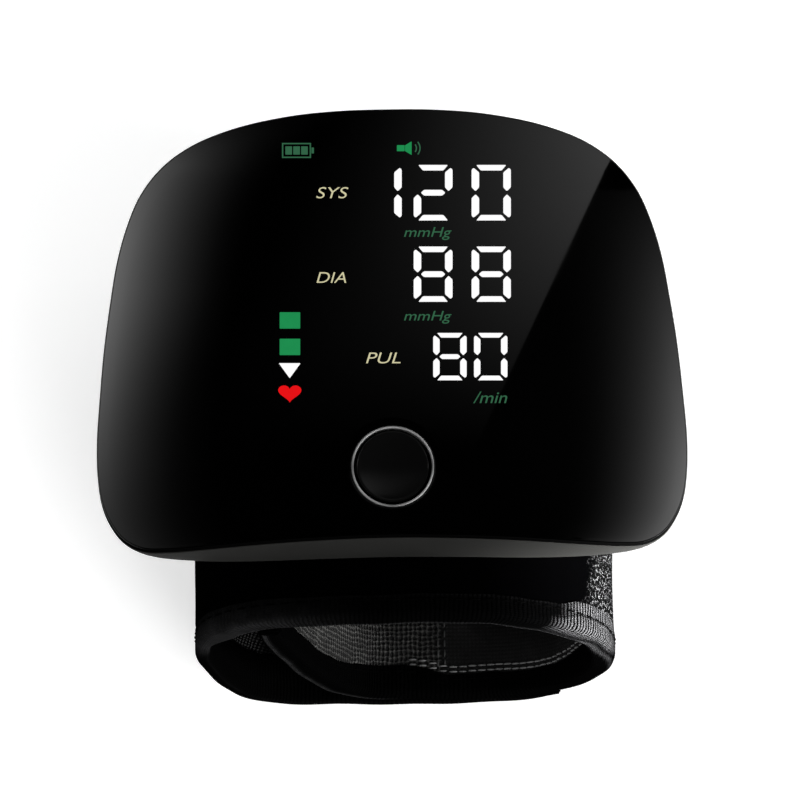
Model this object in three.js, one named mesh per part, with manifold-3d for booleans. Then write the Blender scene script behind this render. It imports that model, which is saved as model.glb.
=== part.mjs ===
// Wrist blood pressure monitor, lying face up on its closed cuff.
// Millimetres, +Z up, +Y towards the top of the display, the wrist runs along Y.
import * as THREE from 'three';
import { mergeVertices } from 'three/addons/utils/BufferGeometryUtils.js';
import Module from 'manifold-3d';

const wasm = await Module();
wasm.setup();

// ---------- driving dimensions ----------
const FACE_TOP = 68.2;        // height of the face's highest point
const FACE_R = 83;            // face radius across X
const FACE_SAG_Y = 1.2;       // fall of the face at its upper and lower edge
const WINDOW_T = 1.4;         // front window thickness
const DECK_T = 1.4;           // housing deck below the window
const GAP = 0.3;              // clearance between neighbouring pieces
const WALL = 1.5;             // housing wall
const BASE_Z = 52.0;          // underside of the housing at the centre
const BASE_DROP = 1.5;        // how far that underside falls at its sides
const PLATE_TOP = 53.5;       // inner floor of the rear housing
const BUTTON_Y = -22.1;       // button centre below the body's centre
const RING_R = 6.0;           // outer radius of the silver ring
const RING_W = 0.45;
const CUFF_Y0 = -40.3;        // near rim of the cuff
const CUFF_Y1 = 29.7;         // far rim of the cuff
const TAPE_W = 1.3;           // edge binding at each rim
const TOP_T = 4.4;            // thickness of the cuff below the body
const RIGHT_T = 3.6;          // thickness of the preformed side
const STRAP_T = 2.0;          // thickness of the strap side

// ---------- helpers ----------
function clean(geometry) {
  let g = geometry.clone();
  for (const name of Object.keys(g.attributes)) if (name !== 'position') g.deleteAttribute(name);
  g.clearGroups();
  g = mergeVertices(g, 1e-4);
  const idx = g.index.array;
  const keep = [];
  for (let i = 0; i < idx.length; i += 3) {
    const [a, b, c] = [idx[i], idx[i + 1], idx[i + 2]];
    if (a !== b && b !== c && c !== a) keep.push(a, b, c);
  }
  g.setIndex(keep);
  return g;
}

function solid(geometry) {
  const g = clean(geometry);
  return new wasm.Manifold(new wasm.Mesh({
    numProp: 3,
    vertProperties: new Float32Array(g.attributes.position.array),
    triVerts: new Uint32Array(g.index.array),
  }));
}

function toGeometry(manifold) {
  const m = manifold.getMesh();
  const g = new THREE.BufferGeometry();
  g.setAttribute('position', new THREE.BufferAttribute(new Float32Array(m.vertProperties), 3));
  g.setIndex(new THREE.BufferAttribute(new Uint32Array(m.triVerts), 1));
  return g;
}

function box(x0, x1, y0, y1, z0, z1) {
  return new THREE.BoxGeometry(x1 - x0, y1 - y0, z1 - z0)
    .translate((x0 + x1) / 2, (y0 + y1) / 2, (z0 + z1) / 2);
}

function rod(r, z0, z1, x, y, n = 20, r2 = r) { // upright cylinder or cone
  return new THREE.CylinderGeometry(r2, r, z1 - z0, n).rotateX(Math.PI / 2)
    .translate(x, y, (z0 + z1) / 2);
}

function rodY(r, y0, y1, x, z, n = 20) {
  return new THREE.CylinderGeometry(r, r, y1 - y0, n).translate(x, (y0 + y1) / 2, z);
}

function rodX(r, x0, x1, y, z, n = 12) {
  return new THREE.CylinderGeometry(r, r, x1 - x0, n).rotateZ(Math.PI / 2)
    .translate((x0 + x1) / 2, y, z);
}

function prism(points, z0, z1) { // plan outline raised along Z
  const shape = new THREE.Shape(points.map(([x, y]) => new THREE.Vector2(x, y)));
  return new THREE.ExtrudeGeometry(shape, { depth: z1 - z0, bevelEnabled: false, steps: 1 })
    .translate(0, 0, z0);
}

function sectionY(points, y0, y1) { // outline in X and Z, drawn out along Y
  const shape = new THREE.Shape(points.map(([x, z]) => new THREE.Vector2(x, z)));
  return new THREE.ExtrudeGeometry(shape, { depth: y1 - y0, bevelEnabled: false, steps: 1 })
    .rotateX(Math.PI / 2).translate(0, y1, 0);
}

function roundRect(x0, x1, y0, y1, r, n = 4) {
  const out = [];
  for (const [cx, cy, a0] of [[x1 - r, y0 + r, -90], [x1 - r, y1 - r, 0], [x0 + r, y1 - r, 90], [x0 + r, y0 + r, 180]]) {
    for (let i = 0; i <= n; i++) {
      const a = (a0 + (90 * i) / n) * Math.PI / 180;
      out.push([cx + r * Math.cos(a), cy + r * Math.sin(a)]);
    }
  }
  return out;
}

function spline(points, n, closed = false) { // even steps along a smooth curve
  const curve = new THREE.CatmullRomCurve3(points.map(([x, y]) => new THREE.Vector3(x, y, 0)), closed, 'centripetal');
  curve.arcLengthDivisions = 800;
  const out = curve.getSpacedPoints(n).map((p) => [p.x, p.y]);
  if (closed) out.pop();
  return out;
}

function inset(outline, d) { // moves a closed counter-clockwise outline inwards
  const n = outline.length;
  return outline.map((p, i) => {
    const a = outline[(i + n - 1) % n], b = outline[(i + 1) % n];
    const tx = b[0] - a[0], ty = b[1] - a[1], l = Math.hypot(tx, ty);
    return [p[0] - (ty / l) * d, p[1] + (tx / l) * d];
  });
}

function tube(path, r, sides = 8, steps = 10) {
  const curve = new THREE.CatmullRomCurve3(path.map((p) => new THREE.Vector3(...p)), false, 'centripetal');
  const ring = [];
  for (let i = 0; i < sides; i++) {
    const a = (2 * Math.PI * i) / sides;
    ring.push(new THREE.Vector2(r * Math.cos(a), r * Math.sin(a)));
  }
  return new THREE.ExtrudeGeometry(new THREE.Shape(ring), { steps, bevelEnabled: false, extrudePath: curve });
}

const group = new THREE.Group();
group.name = 'wrist_monitor';

function node(name, geometry, color, roughness, metalness = 0) {
  const material = new THREE.MeshStandardMaterial({ color, roughness, metalness });
  const mesh = new THREE.Mesh(clean(geometry), material);
  mesh.name = name;
  group.add(mesh);
  return mesh;
}

// ---------- the body's face and plan outline ----------
const faceZ = (x, y) => FACE_TOP - (FACE_R - Math.sqrt(FACE_R * FACE_R - Math.min(x * x, 60 * 60)))
  - FACE_SAG_Y * (y / 32) * (y / 32);

const RIGHT_HALF = [ // from the lower middle, anticlockwise, to the upper middle
  [0, -32.2], [14, -32.3], [27, -32.35], [32.8, -32.1], [36.3, -31.5], [39.0, -29.8], [40.9, -27.1],
  [42.15, -23.9], [42.75, -20.0], [42.85, -15.0], [42.4, -8.5], [41.7, -1.0], [40.8, 5.5], [39.7, 12.0],
  [38.3, 17.0], [36.3, 21.6], [33.2, 25.4], [28.9, 28.2], [22.8, 30.2], [14.6, 31.5], [7, 31.95], [0, 32.0],
];
const outlineControl = [...RIGHT_HALF, ...RIGHT_HALF.slice(1, -1).reverse().map(([x, y]) => [-x, y])];
const outlineCurve = new THREE.CatmullRomCurve3(outlineControl.map(([x, y]) => new THREE.Vector3(x, y, 0)), true, 'centripetal');
const outline = [];
outlineControl.forEach(([x, y], i) => { // a middle point as well where the outline turns quickly
  outline.push([x, y]);
  const m = outlineCurve.getPoint((i + 0.5) / outlineControl.length);
  if (Math.abs(m.x) > 33 && m.y < -23) outline.push([m.x, m.y]);
});
const OUT_N = outline.length;

// The lower outline: the sides draw in by 14 mm, the chin hardly at all, the top by 5 mm.
const baseOf = ([x, y]) => {
  const bx = x * (1 - 13.9 / 42.85);
  const by = y < 0 ? y * (1 - 0.9 / 32.3) : y * (1 - 5 / 32);
  return [bx, by];
};
const baseOutline = outline.map(baseOf);
const baseZ = (x) => BASE_Z - BASE_DROP * (x / 28) * (x / 28);

// Curved slab between two height functions over a rectangle.
function slab(top, bottom, x0, x1, y0, y1, nx, ny) {
  const g = new THREE.BoxGeometry(1, 1, 1, nx, ny, 1);
  const p = g.attributes.position;
  for (let i = 0; i < p.count; i++) {
    const x = x0 + (p.getX(i) + 0.5) * (x1 - x0), y = y0 + (p.getY(i) + 0.5) * (y1 - y0);
    p.setXYZ(i, x, y, p.getZ(i) > 0 ? top(x, y) : bottom(x, y));
  }
  return g;
}
const slabWide = (top, bottom) => slab(top, bottom, -46, 46, -35, 35, 16, 4);

// Hull: a vertical upper edge that curves in to the lower outline. "thick" moves every wall inwards.
function hull(upper, lower, drop, below) {
  const phis = [0, 22, 44, 66, 90].map((d) => d * Math.PI / 180);
  const rows = 1 + phis.length + (below === null ? 0 : 1);
  const g = new THREE.CylinderGeometry(1, 1, 1, OUT_N, rows - 1, false);
  const p = g.attributes.position;
  for (let i = 0; i < p.count; i++) {
    const row = Math.round((0.5 - p.getY(i)) * (rows - 1));
    const r = Math.hypot(p.getX(i), p.getZ(i));
    if (r < 0.5) { // middle of a cap
      p.setXYZ(i, 0, 0, row === 0 ? 76 : (below === null ? BASE_Z + drop : below));
      continue;
    }
    let a = Math.atan2(p.getX(i), p.getZ(i));
    if (a < -1e-6) a += 2 * Math.PI;
    const k = Math.round((a / (2 * Math.PI)) * OUT_N) % OUT_N;
    const u = upper[k], l = lower[k];
    if (row === 0) { p.setXYZ(i, u[0], u[1], 76); continue; }
    const zt = faceZ(outline[k][0], outline[k][1]) - WINDOW_T - GAP;
    const zb = baseZ(baseOutline[k][0]) + drop;
    if (row > phis.length) { p.setXYZ(i, l[0], l[1], below); continue; }
    const f = phis[row - 1];
    p.setXYZ(i, u[0] + (l[0] - u[0]) * (1 - Math.cos(f)), u[1] + (l[1] - u[1]) * (1 - Math.cos(f)),
      zt - (zt - zb) * Math.sin(f));
  }
  return solid(g);
}

// ---------- front window, ring and button ----------
const buttonZ = faceZ(0, BUTTON_Y);
const buttonTilt = Math.atan(2 * FACE_SAG_Y * -BUTTON_Y / (32 * 32)); // the face leans a little here
const atButton = (g) => g.rotateX(buttonTilt).translate(0, BUTTON_Y, buttonZ);
const lathe = (pts, n) => new THREE.LatheGeometry(pts.map(([r, z]) => new THREE.Vector2(r, z)), n).rotateX(Math.PI / 2);

const windowSolid = solid(slabWide(faceZ, (x, y) => faceZ(x, y) - WINDOW_T))
  .intersect(solid(prism(outline, 40, 80)))
  .subtract(solid(atButton(rod(RING_R + 0.25, -6, 6, 0, 0, 36))));
node('front_window', toGeometry(windowSolid), 0x050506, 0.08);

node('button_ring', atButton(lathe([
  [RING_R - RING_W, -1.2], [RING_R, -1.2], [RING_R, 0.05], [RING_R - 0.12, 0.16],
  [RING_R - RING_W + 0.1, 0.16], [RING_R - RING_W, 0.08], [RING_R - RING_W, -1.2]], 36)), 0xa8a9ab, 0.3, 1);

node('power_button', atButton(lathe([
  [0, -4.6], [1.6, -4.6], [1.6, -4.1], [6.3, -4.1], [6.3, -3.45], [5.2, -3.45], [5.2, -0.18], [4.95, -0.02],
  [4.0, -0.22], [2.2, -0.42], [0, -0.5]], 32)), 0x050506, 0.12);

// ---------- display under the window ----------
const DISP = { x0: -17.3, x1: 18.2, y0: -13.2, y1: 27.3 };
let reflector = solid(slab((x, y) => faceZ(x, y) - WINDOW_T - GAP, () => 60.4, DISP.x0, DISP.x1, DISP.y0, DISP.y1, 5, 2));
for (const [x0, x1, y0, y1] of [
  [-1.4, 2.2, 15.4, 23.5], [2.8, 9.2, 15.4, 23.5], [11.2, 17.6, 15.4, 23.5],
  [2.8, 9.2, 3.1, 11.3], [11.2, 17.6, 3.1, 11.3],
  [5.7, 11.0, -9.3, -2.1], [11.7, 16.9, -9.3, -2.1],
  [-16.7, -13.3, -12.3, 1.4]]) {
  reflector = reflector.subtract(solid(box(x0, x1, y0, y1, 60, 70)));
}
node('display_reflector', toGeometry(reflector), 0x1b1b1d, 0.6);
node('display_board', box(DISP.x0, DISP.x1, DISP.y0, DISP.y1, 59.1, 60.1), 0x14301d, 0.5);

// ---------- front housing ----------
const SCREWS = [[22.8, -25.2], [-22.8, -25.2], [18.4, 16.8], [-18.4, 16.8]];
let housing = hull(outline, baseOutline, 0, null)
  .subtract(solid(slabWide(() => 90, (x, y) => faceZ(x, y) - WINDOW_T - GAP)));
let cavity = hull(inset(outline, WALL + 0.1), inset(baseOutline, WALL), WALL, 30)
  .subtract(solid(slabWide(() => 90, (x, y) => faceZ(x, y) - WINDOW_T - GAP - DECK_T)));
for (const [x, y] of SCREWS) cavity = cavity.subtract(solid(rod(2.6, PLATE_TOP + GAP, 70, x, y, 16)));
housing = housing.subtract(cavity)
  .subtract(solid(box(DISP.x0 - GAP, DISP.x1 + GAP, DISP.y0 - GAP, DISP.y1 + GAP, 55, 75)))
  .subtract(solid(atButton(rod(5.6, -8, 6, 0, 0, 32))));
for (const [x, y] of SCREWS) housing = housing.subtract(solid(rod(1.3, 40, 59.2, x, y, 12)));
housing = housing.subtract(solid(sectionY(roundRect(-4.9, 4.9, 53.9, 57.7, 1.8), 24, 40))); // charging socket
for (const [x, y] of [[-32, -8], [-30, -5.6], [-34, -5.6], [-30, -10.4], [-34, -10.4]]) {
  housing = housing.subtract(solid(rod(0.7, 45, 53.6, x, y, 8))); // sound holes
}
node('front_housing', toGeometry(housing), 0x2b2b2a, 0.5);

// ---------- cuff: one spiral outline in X and Z ----------
// From the flap's tip, which hugs the lower right side, along the bottom, up the left side, over the top,
// down the right side, along the bottom and up again inside the left side. The inside lies to the right of the path all the way.
const SPIRAL = [[25.4, 3.7], [21.2, 1.45], [17, 0.35], [12.6, 0], [8, 0], [0, 0], [-6, 0], [-12, 0], [-16.2, 0.6],
  [-19.8, 2.6], [-22.6, 5.8], [-24.5, 9.2],
  [-26.2, 13.6], [-27.7, 19.3], [-28.7, 24.5], [-29.1, 29.5], [-28.9, 34.5], [-28.2, 39.5], [-26.3, 43.4],
  [-23.3, 46.8], [-18, 49.4], [-11, 51.0], [0, 51.5], [10, 51.1], [18, 49.2], [24.3, 44.9], [28.3, 40.2],
  [30.6, 35.2], [32.1, 29.5], [32.5, 24.0], [31.6, 18.0], [29.8, 13.0], [27.4, 8.9], [24.0, 5.6], [20, 3.6],
  [16, 2.6], [12, 2.3], [6, 2.3], [0, 2.4], [-5.2, 3.5], [-9.1, 7.0], [-13.5, 16], [-17.2, 28], [-19.2, 37], [-19.8, 42.4]];
const SPLIT_FLAP = [-22.6, 5.8], SPLIT_LEFT = [-28.2, 39.5], SPLIT_RIGHT = [30.6, 35.2];
const path = spline(SPIRAL, 96);
path.forEach((p) => { p[1] = Math.max(0, p[1]); });
const pathNormal = path.map((p, i) => {
  const a = path[Math.max(0, i - 1)], b = path[Math.min(path.length - 1, i + 1)];
  const tx = b[0] - a[0], tz = b[1] - a[1], l = Math.hypot(tx, tz);
  return [tz / l, -tx / l];
});
const nearest = ([x, z]) => path.reduce((best, p, i) => (
  Math.hypot(p[0] - x, p[1] - z) < Math.hypot(path[best][0] - x, path[best][1] - z) ? i : best), 0);
const iFlap = nearest(SPLIT_FLAP), iLeft = nearest(SPLIT_LEFT), iRight = nearest(SPLIT_RIGHT), iEnd = path.length - 1;

// Leaves out the points of a closed outline that lie on a straight run.
function straighten(points, tolerance) {
  const out = [];
  const n = points.length;
  for (let i = 0; i < n; i++) {
    const a = out.length ? out[out.length - 1] : points[n - 1], p = points[i], b = points[(i + 1) % n];
    const l = Math.hypot(b[0] - a[0], b[1] - a[1]);
    const off = Math.abs((b[0] - a[0]) * (a[1] - p[1]) - (a[0] - p[0]) * (b[1] - a[1])) / l;
    if (off > tolerance || out.length === 0) out.push(p);
  }
  return out;
}

// Strip between two stations of the path, at a depth d0 to d1 inside it, shortened at its ends.
function strip(i0, i1, d0, d1, trim0 = 0, trim1 = 0) {
  const pts = [];
  for (let i = i0; i <= i1; i++) pts.push([path[i][0], path[i][1], ...pathNormal[i]]);
  const shorten = (end, d) => { // cut back along the path, keeping the cut square to it
    const p = end === 0 ? pts[0] : pts[pts.length - 1], dir = end === 0 ? 1 : -1;
    p[0] += -p[3] * d * dir;
    p[1] += p[2] * d * dir;
  };
  if (trim0) shorten(0, trim0);
  if (trim1) shorten(1, trim1);
  const at = (d) => pts.map(([x, z, nx, nz]) => [x + nx * d, z + nz * d]);
  return straighten([...at(d0), ...at(d1).reverse()], 0.012);
}
const Y0 = CUFF_Y0 + TAPE_W + GAP, Y1 = CUFF_Y1 - TAPE_W - GAP;
const half = 0.15;

// top of the cuff, fixed below the body
const CUFF_SCREWS = [[9, -15], [-9, -15], [9, 12], [-9, 12]];
const NOZZLE = [4.5, -20.5];
const layerTop = (d0, d1) => solid(sectionY(strip(iLeft, iRight, d0, d1, half, half), Y0, Y1));
let topFabric = layerTop(0, 0.8).subtract(solid(rod(2.1, 30, 60, ...NOZZLE, 14)));
for (const s of CUFF_SCREWS) topFabric = topFabric.subtract(solid(rod(1.4, 30, 60, ...s, 10)));
let topCore = layerTop(1.1, 2.5).subtract(solid(rod(2.1, 30, 60, ...NOZZLE, 14)));
for (const s of CUFF_SCREWS) {
  topCore = topCore.subtract(solid(rod(1.4, 30, 60, ...s, 12)))
    .subtract(solid(rod(2.7, 48.2, 49.9, ...s, 12, 1.4)));
}
node('cuff_top_fabric', toGeometry(topFabric), 0x0d0d0f, 0.95);
node('cuff_top_core', toGeometry(topCore), 0x3a3b3d, 0.6);
node('cuff_top_bladder', toGeometry(layerTop(2.8, 3.5)), 0x6c6f72, 0.5);
node('cuff_top_lining', toGeometry(layerTop(3.8, 4.4)), 0x1d1d20, 0.9);
node('cuff_top_tape_front', sectionY(strip(iLeft, iRight, 0, TOP_T, half, half), CUFF_Y0, CUFF_Y0 + TAPE_W), 0x101012, 0.9);
node('cuff_top_tape_rear', sectionY(strip(iLeft, iRight, 0, TOP_T, half, half), CUFF_Y1 - TAPE_W, CUFF_Y1), 0x101012, 0.9);

// preformed side: right, bottom and inner left
const layerRight = (d0, d1) => sectionY(strip(iRight, iEnd, d0, d1, half, d0 > 0.9 && d0 < 3 ? 2.2 : 0), Y0, Y1);
node('cuff_right_fabric', layerRight(0, 0.8), 0x121214, 0.95);
node('cuff_right_core', layerRight(1.1, 1.7), 0x3a3b3d, 0.6);
node('cuff_right_bladder', layerRight(2.0, 2.7), 0x6c6f72, 0.5);
node('cuff_right_lining', layerRight(3.0, 3.6), 0x242427, 0.9);
node('cuff_right_tape_front', sectionY(strip(iRight, iEnd, 0, RIGHT_T, half, 0), CUFF_Y0, CUFF_Y0 + TAPE_W), 0x101012, 0.9);
node('cuff_right_tape_rear', sectionY(strip(iRight, iEnd, 0, RIGHT_T, half, 0), CUFF_Y1 - TAPE_W, CUFF_Y1), 0x101012, 0.9);

// strap: left side
const layerLeft = (d0, d1) => sectionY(strip(iFlap, iLeft, d0, d1, half, half), Y0, Y1);
node('strap_left_fabric', layerLeft(0, 0.9), 0x101012, 0.95);
node('strap_left_lining', layerLeft(1.2, 2.0), 0x1a1a1d, 0.9);
node('strap_left_tape_front', sectionY(strip(iFlap, iLeft, 0, STRAP_T, half, half), CUFF_Y0, CUFF_Y0 + TAPE_W), 0x101012, 0.9);
node('strap_left_tape_rear', sectionY(strip(iFlap, iLeft, 0, STRAP_T, half, half), CUFF_Y1 - TAPE_W, CUFF_Y1), 0x101012, 0.9);

// strap: closing flap below
const layerFlap = (d0, d1, t0 = 0) => sectionY(strip(0, iFlap, d0, d1, t0, half), Y0, Y1);
node('flap_fabric', layerFlap(0, 0.9), 0x101012, 0.95);
node('flap_hook', layerFlap(1.2, 2.0, 1.0), 0x17171a, 0.9);
node('flap_tape_front', sectionY(strip(0, iFlap, 0, STRAP_T, 0, half), CUFF_Y0, CUFF_Y0 + TAPE_W), 0x101012, 0.9);
node('flap_tape_rear', sectionY(strip(0, iFlap, 0, STRAP_T, 0, half), CUFF_Y1 - TAPE_W, CUFF_Y1), 0x101012, 0.9);

// ---------- rear housing with its saddle ----------
const topZ = (x) => { // height of the cuff's outer surface at x
  const t = path;
  for (let i = iLeft; i < iRight; i++) {
    if (x >= t[i][0] && x <= t[i + 1][0]) {
      const f = (x - t[i][0]) / (t[i + 1][0] - t[i][0]);
      return t[i][1] + f * (t[i + 1][1] - t[i][1]);
    }
  }
  return 40;
};
const plate = solid(prism(inset(baseOutline, WALL + GAP), 51.9, PLATE_TOP));
const SADDLE = { x0: -24.2, x1: 26.0, y0: -26.5, y1: 21.0 };
const saddleXs = [];
for (let i = 0; i <= 16; i++) saddleXs.push(SADDLE.x0 + (SADDLE.x1 - SADDLE.x0) * i / 16);
const clearUp = (x) => { // vertical clearance over a sloping cuff
  const s = (topZ(x + 0.5) - topZ(x - 0.5));
  return 0.35 * Math.hypot(1, s);
};
const saddle = solid(sectionY([
  ...saddleXs.map((x) => [x, topZ(x) + clearUp(x)]),
  [SADDLE.x1 + 0.6, 52.4], [SADDLE.x0 - 0.6, 52.4]], SADDLE.y0, SADDLE.y1))
  .intersect(solid(prism(inset(baseOutline, WALL + GAP), 30, 60)));
const pocketL = [[-22.4, topZ(-22.4) + 2.6], [-18.5, topZ(-18.5) + 2.3], [-13.5, 52.6], [-13.5, 56], [-22.4, 56]];
const pocketR = [[13.0, 52.6], [18.0, topZ(18) + 1.8], [24.3, topZ(24.3) + 2.3], [24.3, 56], [13.0, 56]];
let rear = plate.add(saddle)
  .subtract(solid(sectionY(pocketL, SADDLE.y0 + 5, SADDLE.y1 - 7.5)))
  .subtract(solid(sectionY(pocketR, SADDLE.y0 + 4.2, SADDLE.y1 - 7.2))
    .intersect(solid(prism(inset(baseOutline, WALL + GAP + 0.6), 40, 60)))) // keeps a wall at the slanting corner
  .subtract(solid(rodY(4.5, -4.9, 12.75, 20.4, 55.3, 20))) // bed of the pump motor
  .subtract(solid(rod(2.2, 40, 60, ...NOZZLE, 14)));
for (const s of CUFF_SCREWS) rear = rear.subtract(solid(rod(1.3, 40, 60, ...s, 10)));
for (const [x, y] of SCREWS) {
  rear = rear.subtract(solid(rod(1.4, 40, 60, x, y, 12))).subtract(solid(rod(2.3, 40, 52.6, x, y, 14)));
}
node('rear_housing', toGeometry(rear), 0x262626, 0.55);

// ---------- screws ----------
SCREWS.forEach(([x, y], i) => {
  const s = solid(rod(1.9, 51.5, 52.3, x, y, 14)).add(solid(rod(1.0, 52.0, 58.6, x, y, 10)))
    .subtract(solid(box(x - 1.2, x + 1.2, y - 0.25, y + 0.25, 51, 51.9)))
    .subtract(solid(box(x - 0.25, x + 0.25, y - 1.2, y + 1.2, 51, 51.9)));
  node(`housing_screw_${i + 1}`, toGeometry(s), 0x9a9b9d, 0.35, 1);
});
CUFF_SCREWS.forEach(([x, y], i) => {
  const s = solid(rod(2.0, 48.85, 49.55, x, y, 12, 1.1)).add(solid(rod(1.0, 49.3, 53.3, x, y, 10)));
  node(`cuff_screw_${i + 1}`, toGeometry(s), 0x9a9b9d, 0.35, 1);
});

// ---------- electronics and air system ----------
const pcbShape = [[-26, -12], [-9, -12], [-9, -28], [9, -28], [9, -12], [12, -12], [12, 13.9], [-26, 13.9]];
node('main_board', prism(pcbShape, 57.6, 58.8), 0x17402a, 0.5);

const sw = solid(box(-3, 3, BUTTON_Y - 2.75, BUTTON_Y + 3.25, 59.1, 62.3)).subtract(solid(rod(1.85, 60.3, 65, 0, BUTTON_Y + 0.25, 14)));
node('switch_body', toGeometry(sw), 0x2a2a2c, 0.5);
node('switch_plunger', rod(1.5, 61.1, 62.7, 0, BUTTON_Y + 0.25, 12), 0xb9b2a2, 0.5);

node('battery', prism(roundRect(-23.2, 6.5, -11, 13.5, 1.2, 2), 53.8, 57.3), 0x9a9ea3, 0.4, 0.5);

const motor = solid(rodY(4.2, -4.6, 12.4, 20.4, 55.3, 20)).add(solid(rodY(1.6, 12.2, 13.4, 20.4, 55.3, 12)));
node('pump_motor', toGeometry(motor), 0x8d9093, 0.35, 1);
const head = solid(box(13.6, 23.4, -21.9, -4.9, 52.95, 58.6)).add(solid(rodX(1.0, 12.6, 14, -20.5, 55.4)));
node('pump_head', toGeometry(head), 0x2f3134, 0.55);
const valve = solid(box(-19.8, -11, -27, -15.5, 53.8, 59.6)).add(solid(rodX(1.0, -11.2, -8.6, -20.5, 55.4)));
node('release_valve', toGeometry(valve), 0x7b7d80, 0.4, 0.8);
const sensor = solid(box(7.0, 12.0, -7.6, -1.4, 54.4, 57.3)).add(solid(rodY(0.9, -9.8, -7.4, 9.5, 55.7, 12)));
node('pressure_sensor', toGeometry(sensor), 0x34363a, 0.5);

const manifold = solid(box(1.2, 7.8, -23.6, -17.4, 53.9, 57.0))
  .add(solid(rod(1.75, 48.75, 54.2, ...NOZZLE, 14)))
  .subtract(solid(rod(0.8, 48, 55.4, ...NOZZLE, 10)))
  .add(solid(rodX(1.0, 7.6, 9.4, -20.5, 55.4))).add(solid(rodX(1.0, -0.6, 1.4, -20.5, 55.4)))
  .add(solid(rodY(1.0, -17.6, -15.9, 4.5, 55.4, 12)));
node('air_manifold', toGeometry(manifold), 0xb8bcc0, 0.4);

node('tube_pump', tube([[9.7, -20.5, 55.4], [11, -20.5, 55.4], [12.3, -20.5, 55.4]], 1.4, 8, 3), 0xc9c6bd, 0.5);
node('tube_valve', tube([[-0.9, -20.5, 55.4], [-3.5, -20.5, 55.4], [-8.3, -20.5, 55.4]], 1.4, 8, 4), 0xc9c6bd, 0.5);
node('tube_sensor', tube([[4.5, -15.6, 55.4], [4.9, -14.0, 55.4], [7.4, -12.9, 55.5], [9.3, -11.8, 55.6], [9.5, -10.1, 55.7]], 1.2, 8, 10), 0xc9c6bd, 0.5);

node('speaker', toGeometry(solid(rod(5.9, 53.8, 56.1, -30.0, -8, 24)).add(solid(rod(3.6, 55.9, 56.6, -30.0, -8, 20)))), 0x55575a, 0.4, 0.6);

node('charge_board', box(-8, 8, 16, 28.2, 57.75, 58.75), 0x17402a, 0.5);
const portOuter = solid(sectionY(roundRect(-4.47, 4.47, 54.2, 57.4, 1.55), 22.6, 30.0));
const portInner = solid(sectionY(roundRect(-4.17, 4.17, 54.5, 57.1, 1.25), 23.6, 31));
const portTongue = solid(box(-3.3, 3.3, 23.4, 28.9, 55.45, 56.15));
node('charge_port', toGeometry(portOuter.subtract(portInner).add(portTongue)), 0xb4b6b8, 0.3, 1);

// Origin: middle of the bounding box in X and Y, lowest point in Z.
const bounds = new THREE.Box3().setFromObject(group);
const shift = new THREE.Vector3(-(bounds.min.x + bounds.max.x) / 2, -(bounds.min.y + bounds.max.y) / 2, -bounds.min.z);
group.position.copy(shift);
group.updateMatrixWorld(true);

export default group;
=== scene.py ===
import bpy
import bmesh
import math
import numpy as np
from mathutils import Matrix, Vector


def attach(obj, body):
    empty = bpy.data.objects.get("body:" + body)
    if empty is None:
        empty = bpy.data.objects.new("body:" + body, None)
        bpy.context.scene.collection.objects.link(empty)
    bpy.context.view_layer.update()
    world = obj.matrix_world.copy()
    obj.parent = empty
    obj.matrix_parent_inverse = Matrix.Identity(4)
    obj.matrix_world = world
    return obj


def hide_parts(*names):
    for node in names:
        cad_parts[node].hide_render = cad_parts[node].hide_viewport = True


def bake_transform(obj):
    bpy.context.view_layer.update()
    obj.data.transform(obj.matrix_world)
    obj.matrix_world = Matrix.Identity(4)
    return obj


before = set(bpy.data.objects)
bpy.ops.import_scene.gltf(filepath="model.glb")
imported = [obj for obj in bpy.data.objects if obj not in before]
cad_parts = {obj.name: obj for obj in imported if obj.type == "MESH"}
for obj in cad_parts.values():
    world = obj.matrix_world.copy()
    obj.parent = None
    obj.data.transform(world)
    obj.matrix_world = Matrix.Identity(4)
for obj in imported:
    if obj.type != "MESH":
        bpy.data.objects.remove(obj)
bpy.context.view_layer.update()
COL = bpy.context.scene.collection
R = math.radians
SY = 4.15                     # the row frame's Y is the design frame's Y plus this, in mm

# ------------------------------------------------------------------ construction, as in the CAD part
FACE_TOP, FACE_R, SAG = 68.2, 83.0, 1.2
BUTTON_Y = -22.1
CY0, CY1 = -40.3, 29.7        # the cuff's near and far rim
RIGHT_HALF = [(0, -32.2), (14, -32.3), (27, -32.35), (32.8, -32.1), (36.3, -31.5), (39.0, -29.8), (40.9, -27.1),
              (42.15, -23.9), (42.75, -20.0), (42.85, -15.0), (42.4, -8.5), (41.7, -1.0), (40.8, 5.5), (39.7, 12.0),
              (38.3, 17.0), (36.3, 21.6), (33.2, 25.4), (28.9, 28.2), (22.8, 30.2), (14.6, 31.5), (7, 31.95), (0, 32.0)]
SPIRAL = [(25.4, 3.7), (21.2, 1.45), (17, 0.35), (12.6, 0), (8, 0), (0, 0), (-6, 0), (-12, 0), (-16.2, 0.6), (-19.8, 2.6), (-22.6, 5.8), (-24.5, 9.2),
          (-26.2, 13.6), (-27.7, 19.3), (-28.7, 24.5), (-29.1, 29.5), (-28.9, 34.5), (-28.2, 39.5), (-26.3, 43.4),
          (-23.3, 46.8), (-18, 49.4), (-11, 51.0), (0, 51.5), (10, 51.1), (18, 49.2), (24.3, 44.9), (28.3, 40.2),
          (30.6, 35.2), (32.1, 29.5), (32.5, 24.0), (31.6, 18.0), (29.8, 13.0), (27.4, 8.9), (24.0, 5.6), (20, 3.6),
          (16, 2.6), (12, 2.3), (6, 2.3), (0, 2.4), (-5.2, 3.5), (-9.1, 7.0), (-13.5, 16), (-17.2, 28), (-19.2, 37),
          (-19.8, 42.4)]


def face_z(x, y):
    return FACE_TOP - (FACE_R - np.sqrt(FACE_R ** 2 - np.minimum(np.square(x), 3600.0))) - SAG * np.square(np.asarray(y) / 32)


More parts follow.
